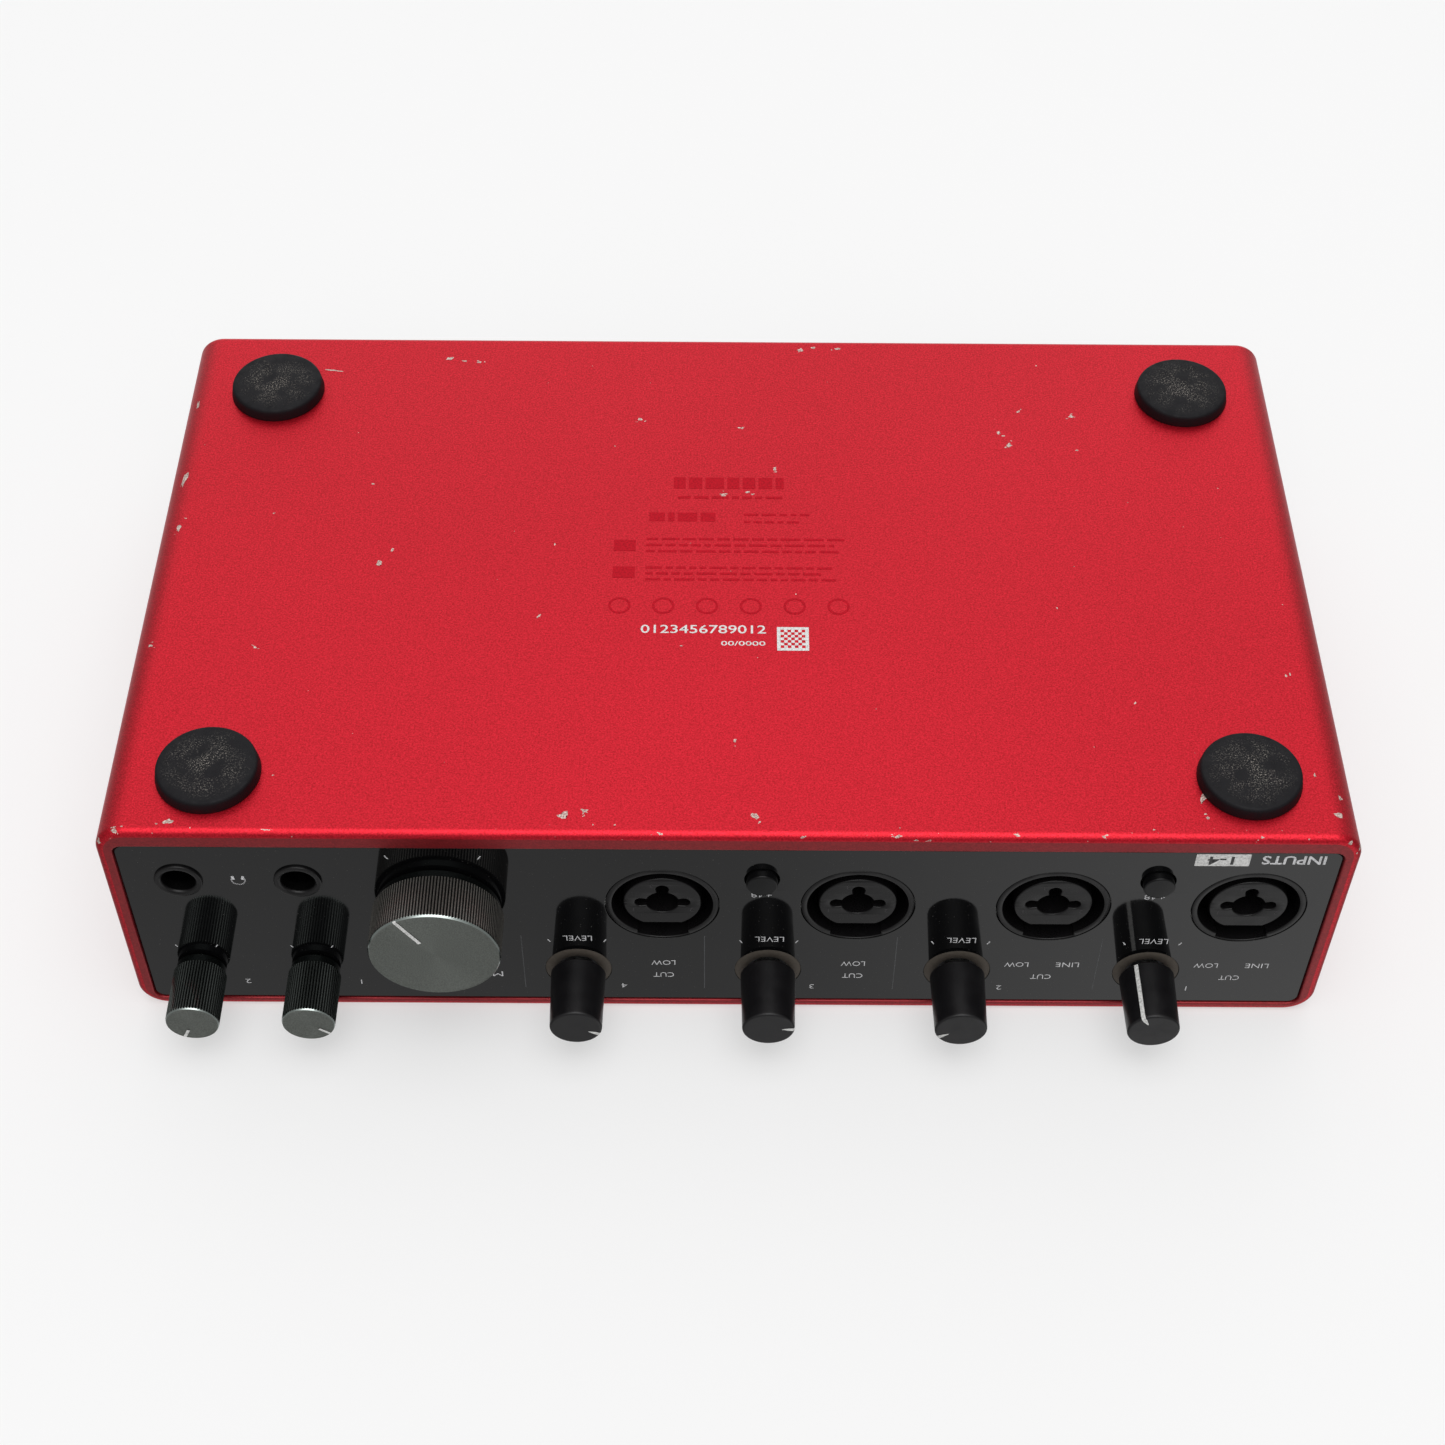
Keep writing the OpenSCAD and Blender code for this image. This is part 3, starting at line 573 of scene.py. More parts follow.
def build_case():
    """The sleeve as one closed loft: inner wall, front rim, rolled edge, outside, and back."""
    half = []
    lip = 0.3
    for turn in range(0, 91, 30):
        a = radians(turn)
        half.append((opening_outline(lip * (1 - cos(a))), lip * (1 - sin(a))))
    half.append((opening_outline(lip + 0.15), 0.0))
    half.append((sleeve_outline(RIM_ROLL + 0.1), 0.0))
    for turn in range(90, -1, -9):
        a = radians(turn)
        half.append((sleeve_outline(RIM_ROLL * (1 - cos(a))), RIM_ROLL * (1 - sin(a))))
    half.append((sleeve_outline(0.0), RIM_ROLL + 0.3))
    front = [(outline, CASE_LOW.y + depth) for outline, depth in half]
    rear = [(outline, CASE_HIGH.y - depth) for outline, depth in half]
    wall = opening_outline(0.0)
    inner = [(wall, CASE_LOW.y + 4), (wall, CASE_LOW.y + 0.6)]
    inner_rear = [(wall, CASE_HIGH.y - 0.6), (wall, CASE_HIGH.y - 4)]
    stations = inner + front + rear[::-1] + inner_rear
    build = bmesh.new()
    loops = [[build.verts.new(Vector((x, y, z)) * MM) for x, z in outline]
             for outline, y in stations]
    rim = 7  # bands from the inner wall to the start of the rolled edge
    # The inner wall and the flat rims take the darker red copy, which is painted shade.
    paint = [(int(band < rim or band >= len(loops) - rim - 1),) for band in range(len(loops))]
    join_rings(build, loops + loops[:1], paint)
    even_flats(new_piece("case_shell", to_mesh("case_shell", build, 60.0), [RED, RIM_RED_SHADED], ROOT,
                         ["case_sleeve"]))


def skin_point(along, over):
    """A point on the case, in millimetres from the middle of the front lower edge.

    along runs sideways, round the corner and up the side; over runs from the flat
    underside (negative), round the rolled edge and on to the rim.
    """
    side = 1 if along >= 0 else -1
    flat = CASE_HIGH.x - CASE_CORNER
    bend = CASE_CORNER * pi / 2
    run = abs(along)
    if run <= flat:
        base, normal = Vector((side * run, 0, CASE_LOW.z)), Vector((0, 0, -1))
    elif run <= flat + bend:
        a = (run - flat) / CASE_CORNER
        normal = Vector((side * sin(a), 0, -cos(a)))
        base = Vector((side * flat, 0, CASE_LOW.z + CASE_CORNER)) + normal * CASE_CORNER
    else:
        normal = Vector((side, 0, 0))
        base = Vector((side * CASE_HIGH.x, 0, CASE_LOW.z + CASE_CORNER + run - flat - bend))
    roll = over / RIM_ROLL
    if roll <= 0:
        place = base + Vector((0, RIM_Y + RIM_ROLL - over, 0))
        out = normal
    elif roll <= pi / 2:
        place = base - normal * RIM_ROLL * (1 - cos(roll))
        place.y = RIM_Y + RIM_ROLL * (1 - sin(roll))
        out = normal * cos(roll) + Vector((0, -sin(roll), 0))
    else:
        place = base - normal * (RIM_ROLL + over - RIM_ROLL * pi / 2)
        place.y = RIM_Y
        out = Vector((0, -1, 0))
    return place - out * CHIP_DEPTH


# worn spots: distance along, distance over the edge, length, width, turn in degrees
CHIPS = [
    (31.5, -3.2, 2.9, 1.9, 20), (27.6, -4.4, 1.2, 1.6, 70), (106.3, -1.2, 2.2, 1.4, 10),
    (-4.9, -3.3, 1.3, 2.0, 40), (-90.9, -8.2, 1.2, 3.0, -25), (-116.5, -4.6, 1.8, 2.3, 60),
    (-91.2, -3.5, 0.7, 1.0, 0), (-113.3, -14.2, 0.6, 1.2, 0), (99.7, -17.6, 1.1, 0.8, 0),
    (117.5, -95.0, 1.3, 5.2, -14), (116.3, -80.2, 1.1, 3.0, -10), (117.0, -46.6, 1.3, 1.1, 0),
    (118.2, -119.5, 0.9, 2.6, 0), (72.9, -69.8, 1.4, 1.8, 25), (70.6, -73.9, 0.7, 1.4, -20),
    (89.0, -130.3, 4.2, 0.5, -8), (63.3, -134.6, 2.0, 1.1, 12), (59.9, -133.8, 1.5, 0.6, 0),
    (56.4, -133.4, 1.3, 0.6, 0), (-16.0, -138.2, 1.6, 1.4, 30), (-19.0, -139.0, 1.4, 0.9, 0),
    (-24.4, -138.8, 1.6, 0.8, 0), (19.7, -114.8, 1.3, 1.0, 15), (1.3, -90.9, 1.3, 1.2, 0),
    (-3.8, -91.8, 1.7, 0.6, 10), (-9.8, -99.2, 0.8, 1.2, 0), (-7.9, -93.5, 1.3, 0.5, 0),
    (-75.5, -116.6, 1.4, 1.1, 20), (-61.1, -107.4, 1.1, 1.9, -15), (-59.1, -111.1, 1.1, 1.0, 0),
    (-63.9, -118.0, 1.0, 1.0, 40), (38.9, -55.2, 0.6, 1.5, -30), (-1.1, -22.0, 0.7, 1.4, -20),
    (-2.8, -112.0, 0.8, 0.6, 0), (95.8, -46.0, 0.8, 0.7, 0), (-111.6, -40.0, 0.5, 1.0, 0),
    (76.6, -93.7, 0.8, 0.5, 0), (87.6, 0.6, 2.4, 0.4, 0), (116.5, 0.8, 1.6, 1.6, 20),
    (121.5, 1.2, 1.8, 1.5, 60), (118.0, 2.4, 1.2, 1.0, 10), (-32.0, 1.2, 1.6, 0.7, 0),
    (-35.5, 2.0, 1.0, 0.6, 30), (-38.0, 2.2, 0.9, 0.8, 0), (-54.5, 0.8, 1.4, 0.6, -10),
    (-71.0, 1.0, 1.0, 0.7, 0), (-14.0, 1.4, 1.2, 0.7, 15), (13.0, 1.0, 0.8, 0.5, 0),
    (-101.0, 1.0, 0.9, 0.6, 0), (-118.5, 1.4, 1.6, 1.4, 0), (-122.0, 0.6, 1.0, 1.6, 0),
    (-124.0, -3.0, 0.8, 1.4, 20), (124.5, -2.0, 1.0, 1.6, 0), (-117.5, -9.0, 1.0, 1.4, 15),
]


def add_chip(build, rng, along, over, length, width, turn):
    """One ragged flake of bare metal that follows the case's surface."""
    sides = 11
    a = radians(turn)
    rings = []
    for share in (0.0, 0.55, 1.0):
        ring = []
        for k in range(1 if share == 0 else sides):
            t = 2 * pi * k / sides
            ragged = share * (0.4 + 0.8 * rng.random())
            u, v = length / 2 * ragged * cos(t), width / 2 * ragged * sin(t)
            spot = skin_point(along + u * cos(a) - v * sin(a),
                              over + u * sin(a) + v * cos(a))
            ring.append(build.verts.new(spot * MM))
        rings.append(ring)
    join_rings(build, rings)


def build_chips():
    """The listed chips with small flakes beside them, then fine specks along the edge and below."""
    rng = random.Random(5)
    build = bmesh.new()
    for along, over, length, width, turn in CHIPS:
        add_chip(build, rng, along, over, length, width, turn)
        for _ in range(rng.choice((0, 1, 3))):
            size = 0.15 + 0.3 * rng.random()
            add_chip(build, rng, along + rng.uniform(-1, 1) * length, over + rng.uniform(-1, 1) * width,
                     size * 2, size, turn)
    for _ in range(34):
        side = rng.choice((-1, 1))
        along = side * 126 * rng.random() ** 0.6
        size = 0.12 + 0.45 * rng.random() ** 4
        add_chip(build, rng, along, rng.uniform(-1.0, 3.0), size * 1.6, size, 180 * rng.random())
    for _ in range(40):
        size = 0.12 + 0.35 * rng.random() ** 3
        add_chip(build, rng, rng.uniform(-116, 116), rng.uniform(-136, -2), size * 1.8, size,
                 180 * rng.random())
    new_piece("case_chips", to_mesh("case_chips", build), [CHIP], ROOT)


BAR_SINK = 0.008  # how far a bar's middle lies below the CAD case's underside
WORD_GAP = 0.7

# rows of faint bars: place from front to back, left end, right end, height
UNDER_ROWS = [
    (30.0, 12.0, -12.6, 3.4), (25.6, 11.0, -12.0, 0.7), (19.6, 17.0, 3.0, 2.6),
    (20.4, -3.0, -17.0, 0.6), (18.2, -3.0, -15.0, 0.6), (13.0, 17.5, -24.5, 0.6),
    (11.2, 17.5, -22.0, 0.6), (9.4, 17.5, -24.0, 0.6), (4.6, 17.5, -22.5, 0.6),
    (2.9, 17.5, -20.0, 0.6), (1.2, 17.5, -23.0, 0.6),
]


def build_under_print():
    """Faint generic bars and rings on the underside, pale digits and a plain chequer."""
    rng = random.Random(11)
    faint = []
    for y, left, right, bar in UNDER_ROWS:
        x = left
        while x > right + 1:
            word = min(rng.uniform(1.2, 4.2), x - right)
            faint.append(under_case(bar_mesh(word, bar), x - word / 2, y, BAR_SINK))
            x -= word + WORD_GAP
    for k in range(6):
        ring = plate_mesh("ring", [circle(0, 0, 2.3, 24), circle(0, 0, 1.8, 24)], 0, 0.03, 0.005)
        ring.transform(Matrix.Rotation(-pi / 2, 4, "X"))
        faint.append(under_case(ring, 22.6 - k * 9.0, -6.3, INK_LIFT))
    for y in (11.0, 3.2):
        faint.append(under_case(bar_mesh(4.6, 3.2), 22.0, y, BAR_SINK))
    printed("under_print_faint", faint, FAINT)
    pale = [under_case(text_mesh("0123456789012", 2.2, 1.24, 0.02), 5.3, -13.0, 0.01),
            under_case(text_mesh("00/0000", 1.2, 1.6, 0.01), -2.8, -16.8, 0.01)]
    last, cell = 8, 0.72
    for row in range(last + 1):
        for column in range(last + 1):
            if (row + column) % 2 or row in (0, last) or column in (0, last):
                pale.append(under_case(bar_mesh(cell * 0.98, cell * 0.98),
                                       -12.9 + (column - last / 2) * cell,
                                       -15.4 + (row - last / 2) * cell, BAR_SINK))
    printed("under_print_pale", pale, WHITE)


def build_feet():
    """Four domed rubber discs with a wide sloping edge."""
    top = high("feet").z
    build = bmesh.new()
    for centre in foot_centres():
        profile = [(0, 0.0), (3, 0.01), (6, 0.04), (9.1, 0.12)]
        profile += [(FOOT_R - 1.0 + 0.7 * px, 1.1 - 0.96 * pz) for px, pz in arc(0, 0, 1.0, 80, 0, 7)]
        profile += [(FOOT_R, top - 0.2), (FOOT_R - 0.1, top)]
        start = len(build.verts)
        add_lathe(build, (0, 0), profile)
        build.verts.ensure_lookup_table()
        for vert in build.verts[start:]:
            vx, vy, vz = vert.co
            vert.co = Vector((vx, vz, vy)) + centre
    new_piece("rubber_feet", to_mesh("rubber_feet", build), [RUBBER], ROOT, ["feet"])


# ---------------- front panel

GAIN = [joints[f"gain_turn_{k}"] for k in range(1, 5)]
PHONES = [joints[f"headphone_turn_{k}"] for k in range(1, 3)]
MONITOR = joints["monitor_turn"]
COMBO = [middle(f"combo_insert_{k}") for k in range(1, 5)]
BUTTONS = [middle(f"phantom_button_{k}") for k in range(1, 3)]
PHONE_JACKS = [middle("headphone_jack_1"), middle("headphone_jack_2")]
COMBO_Z = COMBO[0].z
FLANGE_R = (high("combo_shell_1").x - low("combo_shell_1").x) / 2
PHONE_JACK_Z = 18.2
PHONE_COLLAR_R = 4.7
PHONE_BORE_R = 3.25


def axis_of(joint):
    """Where a front control's axis meets the panel, as (x, z) in millimetres."""
    return joint["pos_m"][0] / MM, joint["pos_m"][2] / MM


def pointer_turn(joint):
    """Where the pointer stands at rest, in degrees clockwise from straight up."""
    return TURN_LIMIT - joint["range_deg"][1]


def build_front_panel():
    """The glossy plate with its holes for sockets, knobs and buttons."""
    x0, z0, x1, z1 = PANEL_LOW.x, PANEL_LOW.z, PANEL_HIGH.x, PANEL_HIGH.z
    outlines = [rounded(x0, z0, x1, z1, PANEL_CORNER)]
    outlines += [circle(c.x, COMBO_Z, FLANGE_R + 0.12) for c in COMBO]
    outlines += [circle(*axis_of(j), 6.74) for j in GAIN]
    outlines += [circle(*axis_of(j), 4.1, 48) for j in PHONES]
    outlines += [circle(j.x, PHONE_JACK_Z, 4.3, 48) for j in PHONE_JACKS]
    outlines += [circle(*axis_of(MONITOR), 6.5, 48)]
    outlines += [circle(b.x, b.z, 3.45, 64) for b in BUTTONS]
    mesh = plate_mesh("front_glass", outlines, FACE_Y, PANEL_HIGH.y, 0.08)
    even_flats(new_piece("front_glass", mesh, [PANEL], ROOT, ["front_panel"]))


def end_ticks(centre, radius, length):
    """Two short marks that point at a knob's axis from both ends of its travel."""
    ticks = []
    for turn in (-TURN_LIMIT, TURN_LIMIT):
        a = radians(turn)
        x, z = centre[0] + radius * sin(a), centre[1] + radius * cos(a)
        ticks.append(on_front(bar_mesh(0.22, length), x, z, turn))
    return ticks


def label(words, x, z, height=1.55, wide=0.95, heavy=-0.02):
    return on_front(text_mesh(words, height, wide, heavy), x, z, lift=0.012)


def headphone_icon(x, z):
    """A band over two ear pads, drawn from bars along an arc."""
    marks = []
    for k in range(13):
        a = radians(-105 + 210 * k / 12)
        marks.append(on_front(bar_mesh(0.62, 0.26), x + 1.3 * sin(a), z + 1.3 * cos(a),
                              degrees(a)))
    for side in (-1, 1):
        marks.append(on_front(bar_mesh(0.55, 1.1), x + side * 0.95, z - 0.75, side * -8))
    return marks


def build_front_print():
    """Plain functional lettering, end marks, dividing lines and the tag for the inputs."""
    marks = []
    for index, joint in enumerate(GAIN):
        centre = axis_of(joint)
        x = centre[0]
        marks.append(label("LEVEL", x - 0.2, 36.7, 1.7))
        marks.append(label(str(index + 1), x - 9.1, 53.2, 1.5, 1.2))
        marks += end_ticks(centre, 11.2, 1.0)
        if index < 2:
            marks.append(label("LINE", x - 22.3, 45.0, wide=1.1))
            marks.append(label("LOW", x - 12.0, 45.0))
        else:
            marks.append(label("LOW", x - 17.3, 45.0))
        marks.append(label("CUT", x - 17.3, 49.25))
    lines = [on_front(bar_mesh(0.14, 18.3), x, 44.9) for x in (-74.9, -33.9, 4.65, 41.3)]
    printed("front_lines", lines, PRINT_DIM)
    for button in BUTTONS:
        marks.append(label("+48", button.x, 21.9, wide=1.2))
    monitor = axis_of(MONITOR)
    marks += end_ticks(monitor, 17.8, 1.2)
    marks.append(label("MAIN OUTPUT", monitor[0], 49.25, 1.8, 1.3))
    for index, joint in enumerate(PHONES):
        centre = axis_of(joint)
        marks += end_ticks(centre, 8.1, 0.8)
        marks.append(label(str(index + 1), centre[0] - 8.65, 52.4, 1.5, 1.2))
    marks += headphone_icon((PHONE_JACKS[0].x + PHONE_JACKS[1].x) / 2, 18.2)
    marks.append(label("INPUTS", -108.4, 9.75, 2.5, 1.05, 0.06))
    printed("front_print", marks, PRINT)
    tag = plate_mesh("input_tag", [rounded(-99.9, 8.1, -89.4, 11.8, 0.2, 2)],
                     FACE_Y - 0.04, FACE_Y - 0.005, 0.01)
    new_piece("input_tag", tag, [WHITE], ROOT)
    digits = on_front(text_mesh("1-4", 2.4, 1.3, 0.06), -94.65, 9.95, lift=0.05)
    printed("input_tag_digits", [digits], PANEL)


# ---------------- sockets in front

GROOVE_R, INSERT_R, PLUG_R = 9.93, 7.68, 3.2
PIN_CIRCLE, PIN_R = 4.15, 1.25
NOTCH_R, NOTCH_HALF = 10.75, 5.05
CUP_R, CUP_BORE_R = 11, PLUG_R + 0.2
FLAT_HALF = 3.8  # half the width of the flat on top of a combo socket's core


def behind_face(points):
    """Profile points with their depths counted back from the front panel's face."""
    return [(radius, FACE_Y + depth) for radius, depth in points]


def polar_outline(x, z, reach):
    """An outline round (x, z) whose distance from it is reach(angle)."""
    angles = [2 * pi * step / 180 for step in range(180)]
    return [(x + reach(a) * cos(a), z + reach(a) * sin(a)) for a in angles]


def pin_hole_reach(a):
    """The plug hole with three pin holes opening into it."""
    reach = PLUG_R
    for pin in (0, pi, 1.5 * pi):
        along, across = PIN_CIRCLE * cos(a - pin), PIN_CIRCLE * sin(a - pin)
        if along > 0 and abs(across) < PIN_R:
            reach = max(reach, along + sqrt(PIN_R ** 2 - across ** 2))
    return reach


def groove_reach(a):
    """The groove's outer wall with the wide key notch at the top."""
    return NOTCH_R if abs(a - pi / 2) < asin(NOTCH_HALF / NOTCH_R) else GROOVE_R


def build_combo(number):
    """A combo socket: flange and cup, core with its holes, and the pin numbers."""
    spot = COMBO[number - 1]
    x, z = spot.x, COMBO_Z
    shell = plate_mesh("flange", [circle(x, z, FLANGE_R, 120), polar_outline(x, z, groove_reach)],
                       FACE_Y, FACE_Y + 9, 0.22)
    cup = lathe_mesh("cup", (x, z), behind_face([
        (CUP_R, 9), (CUP_R, 34), (0, 34), (0, 31), (CUP_BORE_R, 31), (CUP_BORE_R, 20),
        (GROOVE_R, 20), (GROOVE_R, 9), (CUP_R, 9)]))
    even_flats(new_piece(f"combo_flange_{number}", merged("combo_flange", [shell, cup]), [SOCKET],
                         ROOT, [f"combo_shell_{number}"]))
    flat = sqrt(INSERT_R ** 2 - FLAT_HALF ** 2)
    rim = [(px, min(pz, z + flat)) for px, pz in circle(x, z, INSERT_R, 160)]
    front = low(f"combo_insert_{number}").y
    core = plate_mesh("core", [rim, polar_outline(x, z, pin_hole_reach)], front, FACE_Y + 15, 0.28)
    tail = plate_mesh("tail", [circle(x, z, INSERT_R), circle(x, z, PLUG_R)],
                      FACE_Y + 15, FACE_Y + 20, 0.05)
    digits = []
    for words, dx, dz in (("1", 5.7, 2.1), ("2", -5.7, 2.1), ("3", 2.1, -5.5)):
        digits.append(on_front(text_mesh(words, 1.1), x + dx, z + dz, lift=FACE_Y - front + 0.03))
    even_flats(new_piece(f"combo_core_{number}", merged("combo_core", [core, tail]), [SOCKET], ROOT,
                         [f"combo_insert_{number}"]))
    printed(f"combo_digits_{number}", digits, DIGIT)


def build_halo(number):
    x, z = axis_of(GAIN[number - 1])
    back = high(f"gain_halo_{number}").y
    inner, outer = 4.2, 6.67
    mesh = lathe_mesh("light_ring", (x, z), [
        (inner, back), (inner, FACE_Y + 0.1), (inner + 0.12, FACE_Y), (outer - 0.12, FACE_Y),
        (outer, FACE_Y + 0.1), (outer, back), (inner, back)])
    new_piece(f"light_ring_{number}", mesh, [RING], ROOT, [f"gain_halo_{number}"])


def build_headphone_jack(number):
    """Glossy collar, a plug hole whose wall is painted near black as shade, and a contact spring in dark
    steel, also painted shade, that shows at the bottom of the hole.
    """
    spot = PHONE_JACKS[number - 1]
    x, z = spot.x, PHONE_JACK_Z
    profile = behind_face(
        [(PHONE_BORE_R, 30), (PHONE_BORE_R, 0.1)] + arc(PHONE_BORE_R + 0.7, 0.15, 0.7, 180, 270, 6)
        + arc(PHONE_COLLAR_R - 0.3, -0.25, 0.3, -90, 0, 4)
        + [(PHONE_COLLAR_R, -0.02), (4.2, -0.02), (4.2, 30), (PHONE_BORE_R, 30)])
    # The plug hole's wall takes the near-black copy, painted shade.
    paint = [(1,), (1,)] + [(0,)] * (len(profile) - 2)
    new_piece(f"headphone_collar_{number}", lathe_mesh("collar", (x, z), profile, paint=paint),
              [SOCKET, BORE_SHADE], ROOT, [f"headphone_jack_{number}"])
    sleeve = lathe_mesh("sleeve", (x, z), behind_face([
        (3.24, 5.0), (3.22, 2.2), (3.05, 1.9), (3.05, 5.0), (3.24, 5.0)]), segments=48)
    # The contact takes the dark screw steel so that the inside of the hole stays dark: painted shade.
    new_piece(f"headphone_contact_{number}", sleeve, [BLACK_STEEL], ROOT)


def build_button(number):
    """A slightly domed push button with the flange that holds it behind the plate."""
    spot = BUTTONS[number - 1]
    body = f"phantom_key_{number}"
    front = low(f"phantom_button_{number}").y
    back = high(f"phantom_button_{number}").y
    flange = PANEL_HIGH.y + 1.3
    profile = [(0, front), (2.0, front + 0.015), (2.6, front + 0.05)]
    profile += arc(2.78, front + 0.35, 0.3, -90, 0, 4)
    profile += [(3.08, flange), (4.2, flange), (4.2, flange + 1), (1.5, flange + 1), (1.5, back),
                (0, back)]
    new_piece(f"phantom_cap_{number}", lathe_mesh("cap", (spot.x, spot.z), profile), [BUTTON],
              body, [f"phantom_button_{number}"])


# ---------------- knobs

def pointer_mesh(centre, turn, path, width, pointed=False):
    """A painted line that follows a knob's outline; path holds (radius, y) points."""
    build = bmesh.new()
    steps = []
    a = radians(turn)
    out = Vector((sin(a), 0, cos(a)))
    across = Vector((cos(a), 0, -sin(a)))
    for index, (radius, y) in enumerate(path):
        half = width / 2
        if pointed and index == 0:
            half *= 0.15
        axis_point = Vector((centre[0], y, centre[1]))
        side_point = axis_point + out * sqrt(max(radius ** 2 - half ** 2, 0))
        steps.append([build.verts.new(place * MM) for place in (
            side_point - across * half, axis_point + out * radius, side_point + across * half)])
    for first, second in zip(steps, steps[1:]):
        for k in range(2):
            build.faces.new((first[k], first[k + 1], second[k + 1], second[k]))
    return to_mesh("pointer", build)


def build_gain_knob(number):
    """A tapered black knob with a white pointer over its face and side."""
    joint = GAIN[number - 1]
    centre = axis_of(joint)
    node = f"gain_knob_{number}"
    above, back = low(node).y, high(node).y
    front = above + 0.035  # leaves room for the painted pointer inside the CAD knob
    base_r, tip_r, edge = 5.55, 5.25, 0.45
    profile = [(0, front), (3.0, front), (tip_r - edge - 0.3, front)]
    profile += arc(tip_r - edge, front + edge, edge, -90, -3, 6)
    profile += [(tip_r + 0.01, front + 0.8), (tip_r + 0.1, front + 5), (base_r - 0.02, back - 0.9),
                (base_r, back - 0.3), (base_r - 0.25, back), (3.0, back), (3.0, back - 8), (0, back - 8)]
    new_piece(f"gain_cap_{number}", lathe_mesh("gain_cap", centre, profile, segments=112), [KNOB],
              f"gain_dial_{number}", [node])
    path = [(2.7, above), (4.2, above), (tip_r - edge, above)]
    path += arc(tip_r - edge, front + edge, edge * 1.08, -75, 0, 5)
    path += [(tip_r + 0.045, front + 0.8), (tip_r + 0.135, front + 5),
             (base_r + 0.02, back - 0.9), (base_r + 0.03, back - 0.35)]
    new_piece(f"gain_pointer_{number}", pointer_mesh(centre, pointer_turn(joint), path, 0.85, pointed=True),
              [WHITE], f"gain_dial_{number}")


KNURL_DEPTH = 0.26
DISHING = 0.12  # how far a turned knob's face dips in the middle
GROOVE_PITCH, GROOVE_DEPTH = 0.45, 0.012  # the turning marks on its face
PAINT_LIFT = 0.03


def turned_knob(name, joint, body, node, radius, collar_r, collar_top, teeth, chamfer, pointer,
                ridge):
    """A knurled aluminium knob with a polished edge, a spun face and a smooth collar; its knurl has painted
    shade in the grooves and painted light on the ridges.
    """
    centre = axis_of(joint)
    front, back = low(node).y, high(node).y
    shoulder = FACE_Y - collar_top
    profile = [(0, front + DISHING)]
    rings = int((radius - chamfer) / GROOVE_PITCH)
    for k in range(1, rings):
        share = k / rings
        profile.append(((radius - chamfer) * share,
                        front + DISHING - 0.1 * share + GROOVE_DEPTH * (k % 2)))
    # Each knurl tooth's two deep walls take the near-black groove copy, painted shade, and its other faces
    # the lighter ridge copy, painted light.
    face, edge, knurl, collar = (0,), (1,), (2, 3, 3, 2), (4,)
    paint = [face] * len(profile)
    profile += [(radius - chamfer - 0.05, front + 0.01), (radius - chamfer, front)]
    profile += [(radius - 0.12, front + chamfer - 0.08), (radius - 0.06, front + chamfer + 0.05)]
    paint += [face, edge, edge, edge]
    knurl_start = len(profile)
    profile += [(radius, front + chamfer + 0.2), (radius, front + chamfer + 0.8),
                (radius, shoulder - 0.8), (radius, shoulder - 0.2)]
    knurl_end = len(profile)
    paint += [knurl] * 4
    profile += [(radius - 0.18, shoulder - 0.06), (radius - 0.26, shoulder), (collar_r + 0.1, shoulder),
                (collar_r, shoulder + 0.1), (collar_r, back - 0.2), (collar_r - 0.2, back),
                (3.0, back), (0, back)]
    paint += [collar] * 7

    def wobble(band, step):
        if knurl_start <= band < knurl_end:
            return -KNURL_DEPTH * (0.0, 0.3, 1.0, 0.3)[step % 4]
        return 0.0

    mesh = lathe_mesh(name, centre, profile, segments=teeth * 4, paint=paint, wobble=wobble)
    new_piece(name, mesh, [SPUN, EDGE, ridge, KNURL_GROOVE_SHADE, COLLAR], body, [node])
    inner, width = pointer
    above = front - PAINT_LIFT
    path = [(inner, above), (radius * 0.7, above), (radius - chamfer, above),
            (radius - 0.1, front + chamfer - 0.11)]
    new_piece(f"{name}_pointer", pointer_mesh(centre, pointer_turn(joint), path, width),
              [WHITE], body)


# ---------------- rear and inside

def dress(node, material, soften=0.0):
    """Gives a CAD node its material and, if asked, a fine bevel on its sharp edges."""
    part = frame["nodes"][node]
    if part.material_slots:
        for slot in part.material_slots:
            slot.material = material
    else:
        part.data.materials.append(material)
    if soften:
        weld = part.modifiers.new("weld", "WELD")
        weld.merge_threshold = 1e-6
        bevel = part.modifiers.new("soften", "BEVEL")
        bevel.width = soften * MM
        bevel.segments = 2
        bevel.limit_method = "ANGLE"
        bevel.angle_limit = radians(40)
        bevel.use_clamp_overlap = True
        even_flats(part)


CAD_LOOKS = (  # material, bevel in millimetres, CAD nodes
    (STEEL, 0.0, "front_subpanel chassis_tray board_screws monitor_pot_nut monitor_shaft "
                 "headphone_shaft_1 headphone_shaft_2 gain_shaft_1 gain_shaft_2 gain_shaft_3 "
                 "gain_shaft_4"),
    (GREY_PLASTIC, 0.0, "gain_pots monitor_pot headphone_pots phantom_switches"),
    (BOARD, 0.0, "main_board front_board"),
    (BRASS, 0.0, "board_standoffs"),
    (GOLD, 0.0, "combo_contacts"),
    (CABLE_PLASTIC, 0.0, "ribbon_cable"),
    (WHITE, 0.0, "indicator_leds"),
    (REAR_PAINT, 0.12, "rear_panel"),
    (STEEL, 0.12, "line_jack_nuts usb_socket"),
    (GOLD, 0.12, "coax_sleeves"),
    (BLACK_STEEL, 0.12, "panel_screws"),
    (SOCKET, 0.12, "dc_inlet power_switch_frame midi_sockets coax_sockets optical_socket "
                   "line_jacks"),
    (BUTTON, 0.12, "power_rocker optical_shutter"),
)


def dress_cad_nodes():
    for material, soften, nodes in CAD_LOOKS:
        for node in nodes.split():
            dress(node, material, soften)


